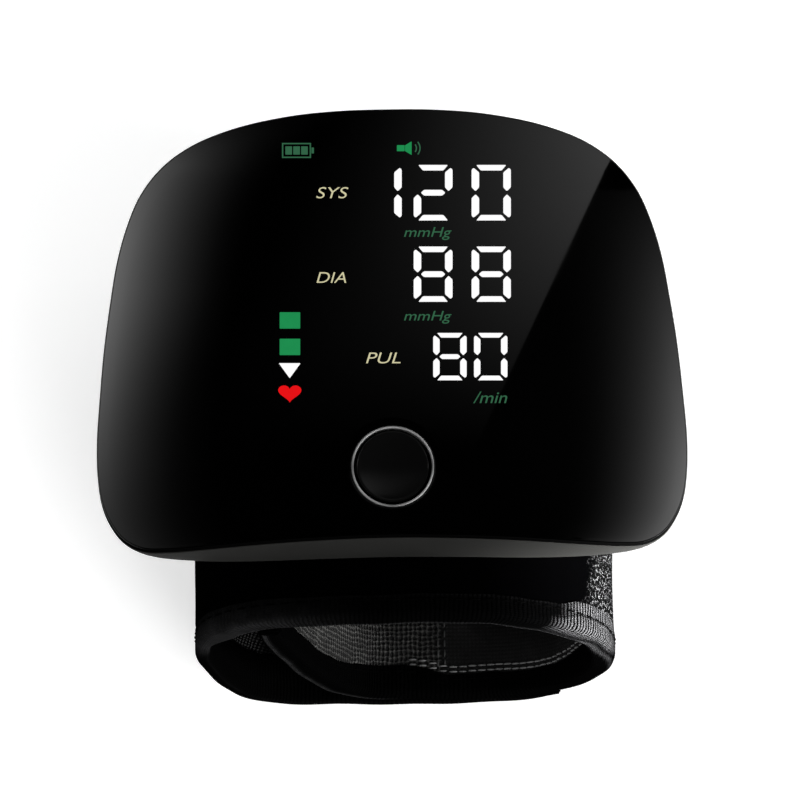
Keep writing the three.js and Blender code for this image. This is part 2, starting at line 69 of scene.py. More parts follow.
def face_n(x, y):
    gx = -x / math.sqrt(FACE_R ** 2 - min(x * x, 3600.0))
    gy = -2 * SAG * y / 1024
    return Vector((-gx, -gy, 1)).normalized()


def catmull(pts, closed, per):
    """Centripetal Catmull-Rom through the points, 'per' samples to a span."""
    p = np.array(pts, float)
    n = len(p)
    out = []
    spans = n if closed else n - 1
    for i in range(spans):
        if closed:
            a, b, c, d = p[(i - 1) % n], p[i % n], p[(i + 1) % n], p[(i + 2) % n]
        else:
            b, c = p[i], p[i + 1]
            a = p[i - 1] if i > 0 else 2 * b - c
            d = p[i + 2] if i + 2 < n else 2 * c - b
        t0 = np.sum((b - a) ** 2) ** 0.25
        t1 = np.sum((c - b) ** 2) ** 0.25
        t2 = np.sum((d - c) ** 2) ** 0.25
        m1 = ((b - a) / t0 - (c - a) / (t0 + t1) + (c - b) / t1) * t1
        m2 = ((c - b) / t1 - (d - b) / (t1 + t2) + (d - c) / t2) * t1
        for k in range(per):
            t = k / per
            out.append(b + m1 * t + (-3 * b + 3 * c - 2 * m1 - m2) * t * t + (2 * b - 2 * c + m1 + m2) * t ** 3)
    if not closed:
        out.append(p[-1])
    return np.array(out)


OUT_CTRL = RIGHT_HALF + [(-x, y) for x, y in RIGHT_HALF[1:-1][::-1]]
OUTLINE = catmull(OUT_CTRL, True, 16)

_sp = catmull(SPIRAL, False, 60)
_sp[:, 1] = np.maximum(_sp[:, 1], 0)
_cum = np.concatenate([[0], np.cumsum(np.hypot(*np.diff(_sp, axis=0).T))])
S_END = float(_cum[-1])
_ds = 0.25
_sg = np.arange(-8, S_END + 8, _ds)
_px = np.interp(_sg, _cum, _sp[:, 0])
_pz = np.interp(_sg, _cum, _sp[:, 1])
_e0 = (_sp[0] - _sp[6]) / np.linalg.norm(_sp[0] - _sp[6])
_e1 = (_sp[-1] - _sp[-7]) / np.linalg.norm(_sp[-1] - _sp[-7])
for _i, _s in enumerate(_sg):
    if _s < 0:
        _px[_i], _pz[_i] = _sp[0] + _e0 * -_s
    if _s > S_END:
        _px[_i], _pz[_i] = _sp[-1] + _e1 * (_s - S_END)
_k = np.exp(-0.5 * (np.arange(-12, 13) * _ds / 1.1) ** 2)
_k /= _k.sum()
_pxs, _pzs = np.convolve(_px, _k, "same"), np.convolve(_pz, _k, "same")
_pxs[:13], _pxs[-13:], _pzs[:13], _pzs[-13:] = _px[:13], _px[-13:], _pz[:13], _pz[-13:]
_tx, _tz = np.gradient(_pxs, _ds), np.gradient(_pzs, _ds)
_tl = np.hypot(_tx, _tz)
_tx, _tz = _tx / _tl, _tz / _tl
_press = 1.6 * (1 - np.clip(_sg / 14, 0, 1)) ** 2              # the flap's tip is pressed against the layer above it
_pxs, _pzs = _pxs + _tz * _press, _pzs - _tx * _press


def path(s):
    """Point, direction and inward normal of the cuff's outer line at s mm from the flap's tip."""
    x, z = np.interp(s, _sg, _pxs), np.interp(s, _sg, _pzs)
    tx, tz = np.interp(s, _sg, _tx), np.interp(s, _sg, _tz)
    return x, z, tx, tz, tz, -tx


def station(x, z, lo=0.0, hi=None):
    g = (_sg >= lo) & (_sg <= (hi or S_END))
    return float(_sg[g][np.argmin((_pxs[g] - x) ** 2 + (_pzs[g] - z) ** 2)])


S_FLAP, S_LEFT, S_RIGHT = station(-23.101, 6.556), station(-28.504, 38.203), station(30.163, 36.38)


def smooth(t):
    t = np.clip(t, 0, 1)
    return t * t * (3 - 2 * t)


def thick(s):
    """Thickness of the cuff at s."""
    t = 2.0 - 1.6 * max(0.0, 1 - max(s, 0.0) / 14) ** 2 + 2.4 * smooth((s - (S_LEFT - 3)) / 8)
    return t - 0.8 * smooth((s - (S_RIGHT - 4)) / 8) - 0.5 * smooth((s - (S_END - 9)) / 8)


# ------------------------------------------------------------------ mesh helpers
def make(name, verts, faces, mats, uvs=None, midx=None, smooth_angle=38, recalc=True):
    """verts in mm in the design frame. uvs is one (u, v) for each vertex."""
    me = bpy.data.meshes.new(name)
    v = np.asarray(verts, float).copy()
    v[:, 1] += SY
    me.from_pydata((v / 1000).tolist(), [], [tuple(int(i) for i in f) for f in faces])
    if midx is not None:
        me.polygons.foreach_set("material_index", np.asarray(midx, np.int32))
    if uvs is not None:
        layer = me.uv_layers.new(name="cloth")
        vi = np.zeros(len(me.loops), np.int32)
        me.loops.foreach_get("vertex_index", vi)
        layer.uv.foreach_set("vector", np.asarray(uvs, np.float32)[vi].ravel())
    me.update()
    tidy(me, smooth_angle, recalc)
    ob = bpy.data.objects.new(name, me)
    COL.objects.link(ob)
    for m in mats:
        me.materials.append(m)
    return ob


def tidy(me, angle=38, recalc=True):
    bm = bmesh.new()
    bm.from_mesh(me)
    if recalc:
        bmesh.ops.recalc_face_normals(bm, faces=bm.faces)
        if bm.calc_volume(signed=True) < 0:
            bmesh.ops.reverse_faces(bm, faces=bm.faces)
    for f in bm.faces:
        f.smooth = True
    lim = R(angle)
    for e in bm.edges:
        e.smooth = not (len(e.link_faces) != 2 or e.calc_face_angle(0) > lim)
    bm.to_mesh(me)
    bm.free()
    me.update()


def applied(ob):
    """Applies the object's modifiers to its mesh."""
    dg = bpy.context.evaluated_depsgraph_get()
    me = bpy.data.meshes.new_from_object(ob.evaluated_get(dg))
    mats = [m for m in ob.data.materials]
    old = ob.data
    ob.modifiers.clear()
    ob.data = me
    me.materials.clear()
    for m in mats:
        me.materials.append(m)
    bpy.data.meshes.remove(old)
    return ob


def cut(ob, cutter, solver="MANIFOLD"):
    m = ob.modifiers.new("cut", "BOOLEAN")
    m.operation, m.solver, m.object = "DIFFERENCE", solver, cutter
    bpy.context.view_layer.update()
    applied(ob)
    bpy.data.objects.remove(cutter)
    return ob


def ride_slot(ob, body, slot, *nodes):
    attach(ob, body)
    if nodes:
        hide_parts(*nodes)
    return ob


def grid_faces(rows, cols, closed_cols=True, base=0):
    """Quads over rows x cols vertices laid out row by row."""
    f = []
    for i in range(rows - 1):
        for j in range(cols if closed_cols else cols - 1):
            a, b = base + i * cols + j, base + i * cols + (j + 1) % cols
            f.append((a, b, b + cols, a + cols))
    return f


# ------------------------------------------------------------------ materials
def nt(name):
    m = bpy.data.materials.new(name)
    m.use_nodes = True
    t = m.node_tree
    t.nodes.clear()
    out = t.nodes.new("ShaderNodeOutputMaterial")
    b = t.nodes.new("ShaderNodeBsdfPrincipled")
    t.links.new(b.outputs[0], out.inputs[0])
    return m, t, b


class N:
    """Short ways to make and link nodes."""

    def __init__(self, t):
        self.t = t

    def new(self, kind, **props):
        n = self.t.nodes.new(kind)
        for k, v in props.items():
            setattr(n, k, v)
        return n

    def link(self, a, b):
        self.t.links.new(a, b)

    def put(self, socket, v):
        if isinstance(v, bpy.types.NodeSocket):
            self.link(v, socket)
        elif v is not None:
            socket.default_value = v

    def math(self, op, a, b=None, c=None, clamp=False):
        n = self.new("ShaderNodeMath", operation=op, use_clamp=clamp)
        self.put(n.inputs[0], a)
        self.put(n.inputs[1], b)
        self.put(n.inputs[2], c)
        return n.outputs[0]

    def noise(self, vec, scale, detail=3, rough=0.5, out="Fac"):
        n = self.new("ShaderNodeTexNoise")
        if vec is not None:
            self.link(vec, n.inputs["Vector"])
        n.inputs["Scale"].default_value = scale
        n.inputs["Detail"].default_value = detail
        n.inputs["Roughness"].default_value = rough
        return n.outputs[out]

    def voronoi(self, vec, scale, feature="F1", out="Distance", rnd=1.0):
        n = self.new("ShaderNodeTexVoronoi", feature=feature)
        self.link(vec, n.inputs["Vector"])
        n.inputs["Scale"].default_value = scale
        n.inputs["Randomness"].default_value = rnd
        return n.outputs[out]

    def range(self, v, a, b, c, d, clamp=True):
        n = self.new("ShaderNodeMapRange", clamp=clamp)
        self.link(v, n.inputs["Value"])
        for k, x in zip(("From Min", "From Max", "To Min", "To Max"), (a, b, c, d)):
            self.put(n.inputs[k], x)
        return n.outputs["Result"]

    def mix(self, f, a, b):
        n = self.new("ShaderNodeMix", data_type="RGBA")
        self.put(n.inputs["Factor"], f)
        self.put(n.inputs["A"], a)
        self.put(n.inputs["B"], b)
        return n.outputs["Result"]

    def mix_sockets(self, f, a, b):
        n = self.new("ShaderNodeMix", data_type="RGBA")
        ins = [s for s in n.inputs if s.type == "RGBA"]
        fac = [s for s in n.inputs if s.type == "VALUE"][0]
        self.put(fac, f)
        self.put(ins[0], a)
        self.put(ins[1], b)
        return [s for s in n.outputs if s.type == "RGBA"][0]

    def bump(self, height, strength, distance, normal=None):
        n = self.new("ShaderNodeBump")
        self.link(height, n.inputs["Height"])
        n.inputs["Strength"].default_value = strength
        n.inputs["Distance"].default_value = distance
        if normal is not None:
            self.link(normal, n.inputs["Normal"])
        return n.outputs["Normal"]

    def uv(self):
        n = self.new("ShaderNodeUVMap", uv_map="cloth")
        return n.outputs[0]

    def obj(self):
        return self.new("ShaderNodeTexCoord").outputs["Object"]

    def split(self, vec):
        n = self.new("ShaderNodeSeparateXYZ")
        self.link(vec, n.inputs[0])
        return n.outputs

    def join(self, x, y, z=0.0):
        n = self.new("ShaderNodeCombineXYZ")
        for s, v in zip(n.inputs, (x, y, z)):
            self.put(s, v)
        return n.outputs[0]


def grey(v, tint=(1, 1, 1)):
    return (v * tint[0], v * tint[1], v * tint[2], 1)


def plastic(name, base, rough, bump=0.15, grain=2500, metal=0.0, coat=0.0, spread=0.12, spec=0.5, tint=(1, 1, 1)):
    """Moulded or machined surface: fine grain, slow changes of tone and gloss."""
    m, t, b = nt(name)
    n = N(t)
    c = n.obj()
    slow = n.noise(c, 60, 3, 0.6)
    fine = n.noise(c, grain, 2, 0.6)
    lo, hi = base * (1 - spread), base * (1 + spread)
    col = n.mix_sockets(slow, grey(lo, tint), grey(hi, tint))
    n.link(col, b.inputs["Base Color"])
    n.link(n.range(slow, 0.3, 0.7, rough * 0.92, min(1, rough * 1.08)), b.inputs["Roughness"])
    b.inputs["Metallic"].default_value = metal
    b.inputs["Coat Weight"].default_value = coat
    b.inputs["Specular IOR Level"].default_value = spec
    if bump:
        n.link(n.bump(fine, bump, 0.0001), b.inputs["Normal"])
    return m


def coloured(name, rgb, rough, metal=0.0, grain=900, bump=0.1, amount=0.15):
    m, t, b = nt(name)
    n = N(t)
    c = n.obj()
    f = n.noise(c, 180, 4, 0.6)
    lo = tuple(v * (1 - amount) for v in rgb) + (1,)
    hi = tuple(min(1, v * (1 + amount)) for v in rgb) + (1,)
    n.link(n.mix_sockets(f, lo, hi), b.inputs["Base Color"])
    n.link(n.range(f, 0.3, 0.7, rough * 0.85, min(1, rough * 1.15)), b.inputs["Roughness"])
    b.inputs["Metallic"].default_value = metal
    n.link(n.bump(n.noise(c, grain, 2, 0.5), bump, 0.0001), b.inputs["Normal"])
    return m


def glow(name, rgb, strength=1.0, base=0.0004):
    """A lit mark behind the smoked window: an even glow with a slight random variation in tone."""
    m, t, b = nt(name)
    n = N(t)
    f = n.noise(n.obj(), 700, 2, 0.5)
    lo = tuple(v * 0.93 for v in rgb) + (1,)
    hi = tuple(min(1, v * 1.04) for v in rgb) + (1,)
    n.link(n.mix_sockets(f, lo, hi), b.inputs["Emission Color"])
    b.inputs["Emission Strength"].default_value = strength
    b.inputs["Base Color"].default_value = (base, base, base, 1)
    b.inputs["Roughness"].default_value = 0.25
    b.inputs["Specular IOR Level"].default_value = 0.1
    return m


def mat_window():
    m, t, b = nt("smoked_window")
    n = N(t)
    c = n.obj()
    haze = n.noise(c, 45, 4, 0.65)
    n.link(n.mix_sockets(haze, grey(0.0001), grey(0.0002)), b.inputs["Base Color"])
    n.link(n.range(haze, 0.35, 0.7, 0.02, 0.04), b.inputs["Roughness"])
    b.inputs["IOR"].default_value = 1.49
    return m


def mat_loop():
    """Black brushed cloth; from the right shoulder on it is looped pile whose curl tips are painted pale, a painted
    highlight where light falls on the shoulder; the cloth before it keeps only its dark colour.
    """
    m, t, b = nt("looped_pile_painted_highlight")
    n = N(t)
    uv = n.uv()
    wob = n.noise(uv, 9, 2, 0.5, "Color")
    v = n.new("ShaderNodeVectorMath", operation="MULTIPLY_ADD")
    n.link(wob, v.inputs[0])
    v.inputs[1].default_value = (0.06, 0.06, 0)
    n.link(uv, v.inputs[2])
    p = v.outputs[0]
    x, y, _ = n.split(uv)
    slant = n.math("ADD", x, n.range(y, (CY0 + 3.4) / 10, (CY0 + 11) / 10, 0.12, -0.12))
    edge = n.math("ADD", slant, n.math("MULTIPLY", n.math("SUBTRACT", n.noise(uv, 3.5, 3, 0.7), 0.5), 0.5))
    ragged = n.math("MULTIPLY", n.math("SUBTRACT", n.noise(uv, 14, 3, 0.7), 0.5), 0.35)
    # the loops and their painted pale tips start at the right shoulder, with a slanting ragged edge
    lit_loops_field = n.range(n.math("ADD", edge, ragged), LIT_LOOPS_FROM / 10 - 0.05, LIT_LOOPS_FROM / 10 + 0.30, 0, 1)
    cells = n.voronoi(p, 11, "DISTANCE_TO_EDGE")
    curls = n.noise(p, 19, 3, 0.65)
    fine = n.noise(p, 52, 3, 0.7)
    loops = n.math("ADD", n.math("MULTIPLY", cells, 1.6), n.math("MULTIPLY", curls, 0.9))
    nap = n.math("ADD", n.math("MULTIPLY", fine, 0.35), n.math("MULTIPLY", n.noise(uv, 6, 3, 0.6), 0.15))
    h = n.math("ADD", n.math("MULTIPLY", loops, lit_loops_field), nap)
    tips = n.math("MULTIPLY", n.range(curls, 0.53, 0.62, 0, 1), n.range(fine, 0.45, 0.58, 0.1, 1))
    dark = n.mix_sockets(fine, grey(0.0001, (1, 1, 1.15)), grey(0.0003, (1, 1, 1.15)))
    # painted highlight: pale curl tips only inside the lit field
    pale = n.mix_sockets(tips, grey(0.0012), grey(0.14, (1, 1, 1.02)))
    n.link(n.mix_sockets(lit_loops_field, dark, pale), b.inputs["Base Color"])
    b.inputs["Roughness"].default_value = 0.9
    b.inputs["Specular IOR Level"].default_value = 0.0
    n.link(n.bump(h, 0.9, 0.0005), b.inputs["Normal"])
    return m


def net_height(n, uv, pu, pv):
    """Square net of round threads, pu and pv threads to 10 mm: 1 on a crossing, 0 in the holes."""
    x, y, _ = n.split(uv)
    su = n.math("ABSOLUTE", n.math("SINE", n.math("MULTIPLY", x, pu * math.pi)))
    sv = n.math("ABSOLUTE", n.math("SINE", n.math("MULTIPLY", y, pv * math.pi)))
    a, b = n.math("POWER", su, 2.2), n.math("POWER", sv, 2.2)
    return n.math("ADD", n.math("MULTIPLY", n.math("MAXIMUM", a, b), 0.62), n.math("MULTIPLY", n.math("MULTIPLY", a, b), 0.38))


def mat_mesh():
    """Open square mesh, grey threads over black."""
    m, t, b = nt("mesh_weave")
    n = N(t)
    uv = n.uv()
    wob = n.noise(uv, 3.0, 4, 0.75, "Color")
    v = n.new("ShaderNodeVectorMath", operation="MULTIPLY_ADD")
    n.link(wob, v.inputs[0])
    v.inputs[1].default_value = (0.12, 0.17, 0)
    n.link(uv, v.inputs[2])
    h = net_height(n, v.outputs[0], 13.0, 13.0)
    strand = n.noise(uv, 60, 3, 0.7)
    patch = n.noise(uv, 1.8, 3, 0.6)
    top = n.range(h, 0.42, 0.98, 0, 1)
    lit = n.math("MULTIPLY", top, n.math("MULTIPLY", n.range(strand, 0.35, 0.65, 0.35, 1.0), n.range(patch, 0.3, 0.7, 0.35, 1.0)))
    n.link(n.mix_sockets(lit, grey(0.007), grey(0.085, (1, 0.99, 0.95))), b.inputs["Base Color"])
    b.inputs["Roughness"].default_value = 0.75
    b.inputs["Specular IOR Level"].default_value = 0.0
    n.link(n.bump(n.math("ADD", h, n.math("MULTIPLY", strand, 0.15)), 0.9, 0.0003), b.inputs["Normal"])
    return m


def mat_knit(name, base, scale=34, lift=1.0):
    """Smooth fine knit."""
    m, t, b = nt(name)
    n = N(t)
    uv = n.uv()
    x, y, _ = n.split(uv)
    rows = n.math("SINE", n.math("MULTIPLY", x, scale * math.pi))
    cols = n.math("SINE", n.math("ADD", n.math("MULTIPLY", y, scale * math.pi), n.math("MULTIPLY", rows, 0.9)))
    h = n.math("ADD", n.math("MULTIPLY", rows, 0.4), n.math("MULTIPLY", cols, 0.5))
    slow = n.noise(uv, 2.5, 3, 0.6)
    f = n.math("ADD", n.math("MULTIPLY", slow, 0.6), n.math("MULTIPLY", h, 0.2), clamp=True)
    n.link(n.mix_sockets(f, grey(base * 0.6), grey(base * 1.5 * lift)), b.inputs["Base Color"])
    b.inputs["Roughness"].default_value = 0.8
    b.inputs["Specular IOR Level"].default_value = 0.0
    n.link(n.bump(h, 0.5, 0.00012), b.inputs["Normal"])
    return m


def mat_binding():
    """Ribbed grosgrain tape: ribs across it about 0.7 mm apart, matt black; its sheen is painted into the colour as
    highlights.
    """
    m, t, b = nt("grosgrain_tape")
    n = N(t)
    uv = n.uv()
    x, y, _ = n.split(uv)
    wob = n.math("MULTIPLY", n.noise(uv, 5, 2, 0.5), 0.06)
    ribs = n.math("ABSOLUTE", n.math("SINE", n.math("MULTIPLY", n.math("ADD", x, wob), 14.5 * math.pi)))
    yarn = n.math("SINE", n.math("MULTIPLY", y, 60 * math.pi))
    fuzz = n.noise(uv, 70, 3, 0.7)
    h = n.math("ADD", ribs, n.math("ADD", n.math("MULTIPLY", yarn, 0.15), n.math("MULTIPLY", fuzz, 0.25)))
    lit = n.math("MULTIPLY", n.range(ribs, 0.55, 1, 0, 1), n.range(fuzz, 0.35, 0.7, 0.2, 1))
    # painted highlights: pale ribs where the cuff bends at the right shoulder, a faint light line along the hem and a
    # pale line along the rim; the stitched groove at the shoulder is left dark as painted shade
    u0, u1 = SHOULDER_HIGHLIGHT_SPAN[0] / 10, SHOULDER_HIGHLIGHT_SPAN[1] / 10
    late = n.math("SUBTRACT", x, n.range(y, 0.165, 0.20, 0.22, 0))
    painted_shoulder_light = n.math("MULTIPLY", n.range(late, u0 - 0.12, u0 + 0.30, 0, 1), n.range(x, u1 - 0.25, u1 + 0.25, 1, 0))
    painted_shoulder_light = n.math("MULTIPLY", painted_shoulder_light, n.new("ShaderNodeAttribute", attribute_name="shoulder_highlight_rows").outputs["Fac"])
    # the stitched groove is left out of the painted shoulder highlight, so it stays dark as painted shade
    gap = n.math("MULTIPLY", n.range(y, 0.165, 0.195, 0, 1), n.range(y, 0.205, 0.235, 1, 0))
    painted_shoulder_light = n.math("MULTIPLY", painted_shoulder_light, n.math("SUBTRACT", 1.0, n.math("MULTIPLY", gap, 0.85)))
    # a painted highlight along the hem
    hem_highlight = n.range(y, 0.015, 0.06, 1, 0)
    # a painted highlight along the rim's fold, in varying strength
    rim_highlight = n.new("ShaderNodeAttribute", attribute_name="rim_highlight").outputs["Fac"]
    plain = n.math("ADD", n.math("MULTIPLY", lit, 0.0004), n.math("MULTIPLY", hem_highlight, 0.0006))
    line = n.math("MULTIPLY", rim_highlight, n.range(n.noise(uv, 3.0, 3, 0.65), 0.3, 0.7, 0.012, 0.034))
    tone = n.math("ADD", n.math("ADD", plain, 0.0004), n.math("MULTIPLY", n.math("MULTIPLY", lit, painted_shoulder_light), 0.075))
    tone = n.math("ADD", tone, line)
    n.link(n.join(tone, tone, n.math("MULTIPLY", tone, 1.03)), b.inputs["Base Color"])
    b.inputs["Roughness"].default_value = 0.62
    b.inputs["Specular IOR Level"].default_value = 0.0
    n.link(n.bump(h, 0.6, 0.00022), b.inputs["Normal"])
    return m


def mat_hook():
    """Hook tape: slanting rows of small stiff hooks."""
    m, t, b = nt("hook_tape")
    n = N(t)
    uv = n.uv()
    x, y, _ = n.split(uv)
    a = n.math("ADD", n.math("MULTIPLY", x, 10.5 * math.pi), n.math("MULTIPLY", y, 6.5 * math.pi))
    rows = n.math("ABSOLUTE", n.math("SINE", a))
    pts = n.math("ABSOLUTE", n.math("SINE", n.math("MULTIPLY", y, 22 * math.pi)))
    h = n.math("MULTIPLY", rows, n.math("ADD", 0.5, n.math("MULTIPLY", pts, 0.5)))
    # painted light: the hook rows are pale only where light reaches them, and dark before that place
    lit = n.math("MULTIPLY", n.range(h, 0.45, 0.95, 0, 1), n.range(x, HOOKS_LIT_FROM / 10 - 0.1, HOOKS_LIT_FROM / 10 + 0.25, 0.04, 1))
    n.link(n.mix_sockets(lit, grey(0.002), grey(0.06)), b.inputs["Base Color"])
    b.inputs["Roughness"].default_value = 0.6
    b.inputs["Specular IOR Level"].default_value = 0.02
    n.link(n.bump(h, 0.9, 0.0004), b.inputs["Normal"])
    return m


def mat_thread(name, base):
    m, t, b = nt(name)
    n = N(t)
    c = n.obj()
    w = n.noise(c, 3500, 2, 0.5)
    n.link(n.mix_sockets(w, grey(base * 0.5), grey(base * 1.4)), b.inputs["Base Color"])
    b.inputs["Roughness"].default_value = 0.6
    b.inputs["Specular IOR Level"].default_value = 0.0
    n.link(n.bump(w, 0.4, 0.0001), b.inputs["Normal"])
    return m


def mat_ring():
    m, t, b = nt("satin_ring")
    n = N(t)
    c = n.obj()
    f = n.noise(c, 2200, 2, 0.6)
    x, y, _ = n.split(c)
    u = n.math("DIVIDE", x, 0.0058)
    v = n.math("DIVIDE", n.math("SUBTRACT", y, (BUTTON_Y + SY) / 1000), 0.0058)
    glint = n.range(n.math("ABSOLUTE", n.math("MULTIPLY", u, v)), 0.0, 0.5, 0.42, 1.0)     # painted highlights on the diagonals
    # a painted highlight along the top of the ring
    glint = n.math("MAXIMUM", glint, n.range(v, 0.82, 0.97, 0.3, 0.85))
    tone = n.math("MULTIPLY", glint, n.range(f, 0.0, 1.0, 0.26, 0.36))
    n.link(n.join(tone, tone, tone), b.inputs["Base Color"])
    n.link(n.range(f, 0.3, 0.7, 0.34, 0.46), b.inputs["Roughness"])
    b.inputs["Metallic"].default_value = 0.35
    n.link(n.bump(f, 0.1, 0.00005), b.inputs["Normal"])
    return m


# the stretch of the right shoulder whose tape ribs get a painted highlight; the tape is also wider there
SHOULDER_HIGHLIGHT_SPAN = (station(23.4, 45.6, S_LEFT, S_RIGHT), station(32.2, 28.5, S_RIGHT, S_RIGHT + 20))
HOOKS_LIT_FROM = station(-21.0, 4.0, 0, S_LEFT)               # the hooks are painted dark before this place, painted shade, and pale after it, a painted highlight
LIT_LOOPS_FROM = station(28.3, 40.2, S_LEFT, S_RIGHT + 5)     # where the loops of the outer cloth and their painted highlight start

M = {
    "window": mat_window(),
    "edge": plastic("ground_edge", 0.0005, 0.7, bump=0.1, spec=0.0),
    "cap": plastic("button_gloss", 0.0022, 0.11, bump=0.0),
    "ring": mat_ring(),
    "housing": plastic("housing_satin", 0.0085, 0.5, bump=0.22, grain=3200, spec=0.006, tint=(1, 1, 0.95)),
    "rear": plastic("rear_matt", 0.0045, 0.55, bump=0.3, grain=2400, spec=0.02),
    "frame": plastic("display_frame_black", 0.012, 0.6, bump=0.2),
    "board": coloured("solder_mask", (0.012, 0.085, 0.035), 0.4),
    "part": plastic("component_black", 0.02, 0.5, bump=0.2),
    "steel": coloured("nickel_steel", (0.56, 0.55, 0.53), 0.3, metal=1.0, grain=2500, bump=0.15),
    "foil": coloured("pouch_foil", (0.58, 0.59, 0.6), 0.38, metal=1.0, grain=300, bump=0.25),
    "silicone": coloured("milky_silicone", (0.6, 0.58, 0.53), 0.45),
    "core": plastic("spring_sheet", 0.03, 0.5, bump=0.2),
    "bladder": coloured("bladder_film", (0.16, 0.17, 0.18), 0.5),
    "loop": mat_loop(),
    "mesh": mat_mesh(),
    "knit": mat_knit("smooth_knit", 0.009),
    "strap_in": mat_knit("strap_knit", 0.003),
    "tape": mat_binding(),
    "hook": mat_hook(),
    "thread_dark": mat_thread("dark_thread", 0.0006),
    "thread_seam": mat_thread("seam_thread", 0.035),
    "thread_pale": mat_thread("pale_thread", 0.11),
    "white": glow("lit_white", (1.0, 0.99, 1.0), 1.05),
    "green": glow("lit_green", (0.013, 0.265, 0.078), 1.0),
    "green_dim": glow("lit_green_dim", (0.032, 0.125, 0.062), 1.0),
    "yellow": glow("lit_yellow", (0.64, 0.60, 0.37), 1.0),
    "red": glow("lit_red", (0.80, 0.006, 0.008), 1.0),
}

# ------------------------------------------------------------------ camera
CAM_E, CAM_AZ, CAM_ROLL, CAM_D, CAM_SCALE = 74.03, 1.14, -0.30, 1500.0, 6.94
TARGET = Vector((1.19, -12.31, 68.0))   # design frame, mm: the point at the middle of the picture


def camera():
    e, ro, az = R(CAM_E), R(CAM_ROLL), R(CAM_AZ)
    f = Vector((math.sin(az) * math.cos(e), math.cos(az) * math.cos(e), -math.sin(e)))
    r0 = Vector((math.cos(az), -math.sin(az), 0))
    u0 = r0.cross(f)
    r = r0 * math.cos(ro) - u0 * math.sin(ro)
    u = r0 * math.sin(ro) + u0 * math.cos(ro)
    return TARGET - f * CAM_D, f, r, u


CAM_P, CAM_F, CAM_RT, CAM_UP = camera()
CAM_K = CAM_SCALE * CAM_D               # pixels per unit slope


def pixel_of(p):
    q = Vector(p) - CAM_P
    d = q.dot(CAM_F)
    return 400 + CAM_K * q.dot(CAM_RT) / d, 400 - CAM_K * q.dot(CAM_UP) / d


def ray(px, py):
    return (CAM_F + CAM_RT * ((px - 400) / CAM_K) + CAM_UP * ((400 - py) / CAM_K)).normalized()


def on_face(px, py):
    """The point of the face that this place of the picture shows, in the design frame."""
    d = ray(px, py)
    z = FACE_TOP
    for _ in range(12):
        p = CAM_P + d * ((z - CAM_P.z) / d.z)
        z = float(face_z(p.x, p.y))
    return p


cam_data = bpy.data.cameras.new("camera")
cam_data.sensor_width = 36
cam_data.lens = CAM_SCALE * CAM_D * 36 / 800
cam = bpy.data.objects.new("camera", cam_data)
COL.objects.link(cam)
cam.matrix_world = Matrix((
    (CAM_RT.x, CAM_UP.x, -CAM_F.x, CAM_P.x / 1000),
    (CAM_RT.y, CAM_UP.y, -CAM_F.y, (CAM_P.y + SY) / 1000),
    (CAM_RT.z, CAM_UP.z, -CAM_F.z, CAM_P.z / 1000),
    (0, 0, 0, 1)))
cam_data.clip_start, cam_data.clip_end = 0.01, 50
bpy.context.scene.camera = cam

# ------------------------------------------------------------------ front window
HOLE = 6.06


def polar_outline(cx, cy, n):
    """n points of the outline, evenly turned about (cx, cy), with their outward normals."""
    d = OUTLINE - np.array([cx, cy])
    a = np.unwrap(np.arctan2(d[:, 1], d[:, 0]))
    if a[-1] < a[0]:
        a, d = a[::-1], d[::-1]
    a = np.append(a, a[0] + 2 * math.pi)
    d = np.vstack([d, d[:1]])
    th = a[0] + np.arange(n) * 2 * math.pi / n
    x, y = np.interp(th, a, d[:, 0]) + cx, np.interp(th, a, d[:, 1]) + cy
    tx, ty = np.roll(x, -1) - np.roll(x, 1), np.roll(y, -1) - np.roll(y, 1)
    l = np.hypot(tx, ty)
    return th, x, y, ty / l, -tx / l


def build_window():
    n = 420
    th, ox, oy, nx, ny = polar_outline(0, BUTTON_Y, n)
    hx, hy = HOLE * np.cos(th), BUTTON_Y + HOLE * np.sin(th)
    re = 0.2
    rows = []
    ux, uy = np.cos(th), np.sin(th)
    # hole: straight wall, small rounding, then the face, then the outer rounding and the wall
    rows.append((hx, hy, face_z(hx, hy) - 1.4))
    rh = 0.15
    for a in (0, 30, 60, 90):
        x, y = hx + ux * rh * (1 - math.cos(R(a))), hy + uy * rh * (1 - math.cos(R(a)))
        rows.append((x, y, face_z(x, y) - rh * (1 - math.sin(R(a)))))
    ax, ay = hx + ux * rh, hy + uy * rh
    bx, by = ox - nx * re, oy - ny * re
    for f in np.linspace(0, 0.985, 46)[1:-1]:
        x, y = ax + (bx - ax) * f, ay + (by - ay) * f
        rows.append((x, y, face_z(x, y)))
    for e in (0.30, 0.05):                   # keeps the face's shading flat up to its edge
        x, y = ox - nx * (re + e), oy - ny * (re + e)
        rows.append((x, y, face_z(x, y)))
    for a in (90, 75, 60, 45, 30, 15, 0):
        k = re * (1 - math.cos(R(a)))
        x, y = ox - nx * k, oy - ny * k
        rows.append((x, y, face_z(x, y) - re * (1 - math.sin(R(a)))))
    rows.append((ox - nx * 0.0, oy - ny * 0.0, face_z(ox, oy) - 1.35))
    rows.append((ox - nx * 0.1, oy - ny * 0.1, face_z(ox, oy) - 1.4))
    for f in (0.7, 0.4):
        x, y = hx + (ox - hx) * f, hy + (oy - hy) * f
        rows.append((x, y, face_z(x, y) - 1.4))
    v = np.concatenate([np.stack(r, 1) for r in rows])
    k = len(rows)
    f = grid_faces(k, n)
    for j in range(n):
        f.append(((k - 1) * n + j, (k - 1) * n + (j + 1) % n, (j + 1) % n, j))
    first = 5 + 44 + 2 + 3                       # the rows from here on are the ground edge and the back
    mi = [1 if i // n >= first else 0 for i in range(len(f))]
    ob = make("face_window", v, f, [M["window"], M["edge"]], midx=mi)
    return ride_slot(ob, "body", "window", "front_window")


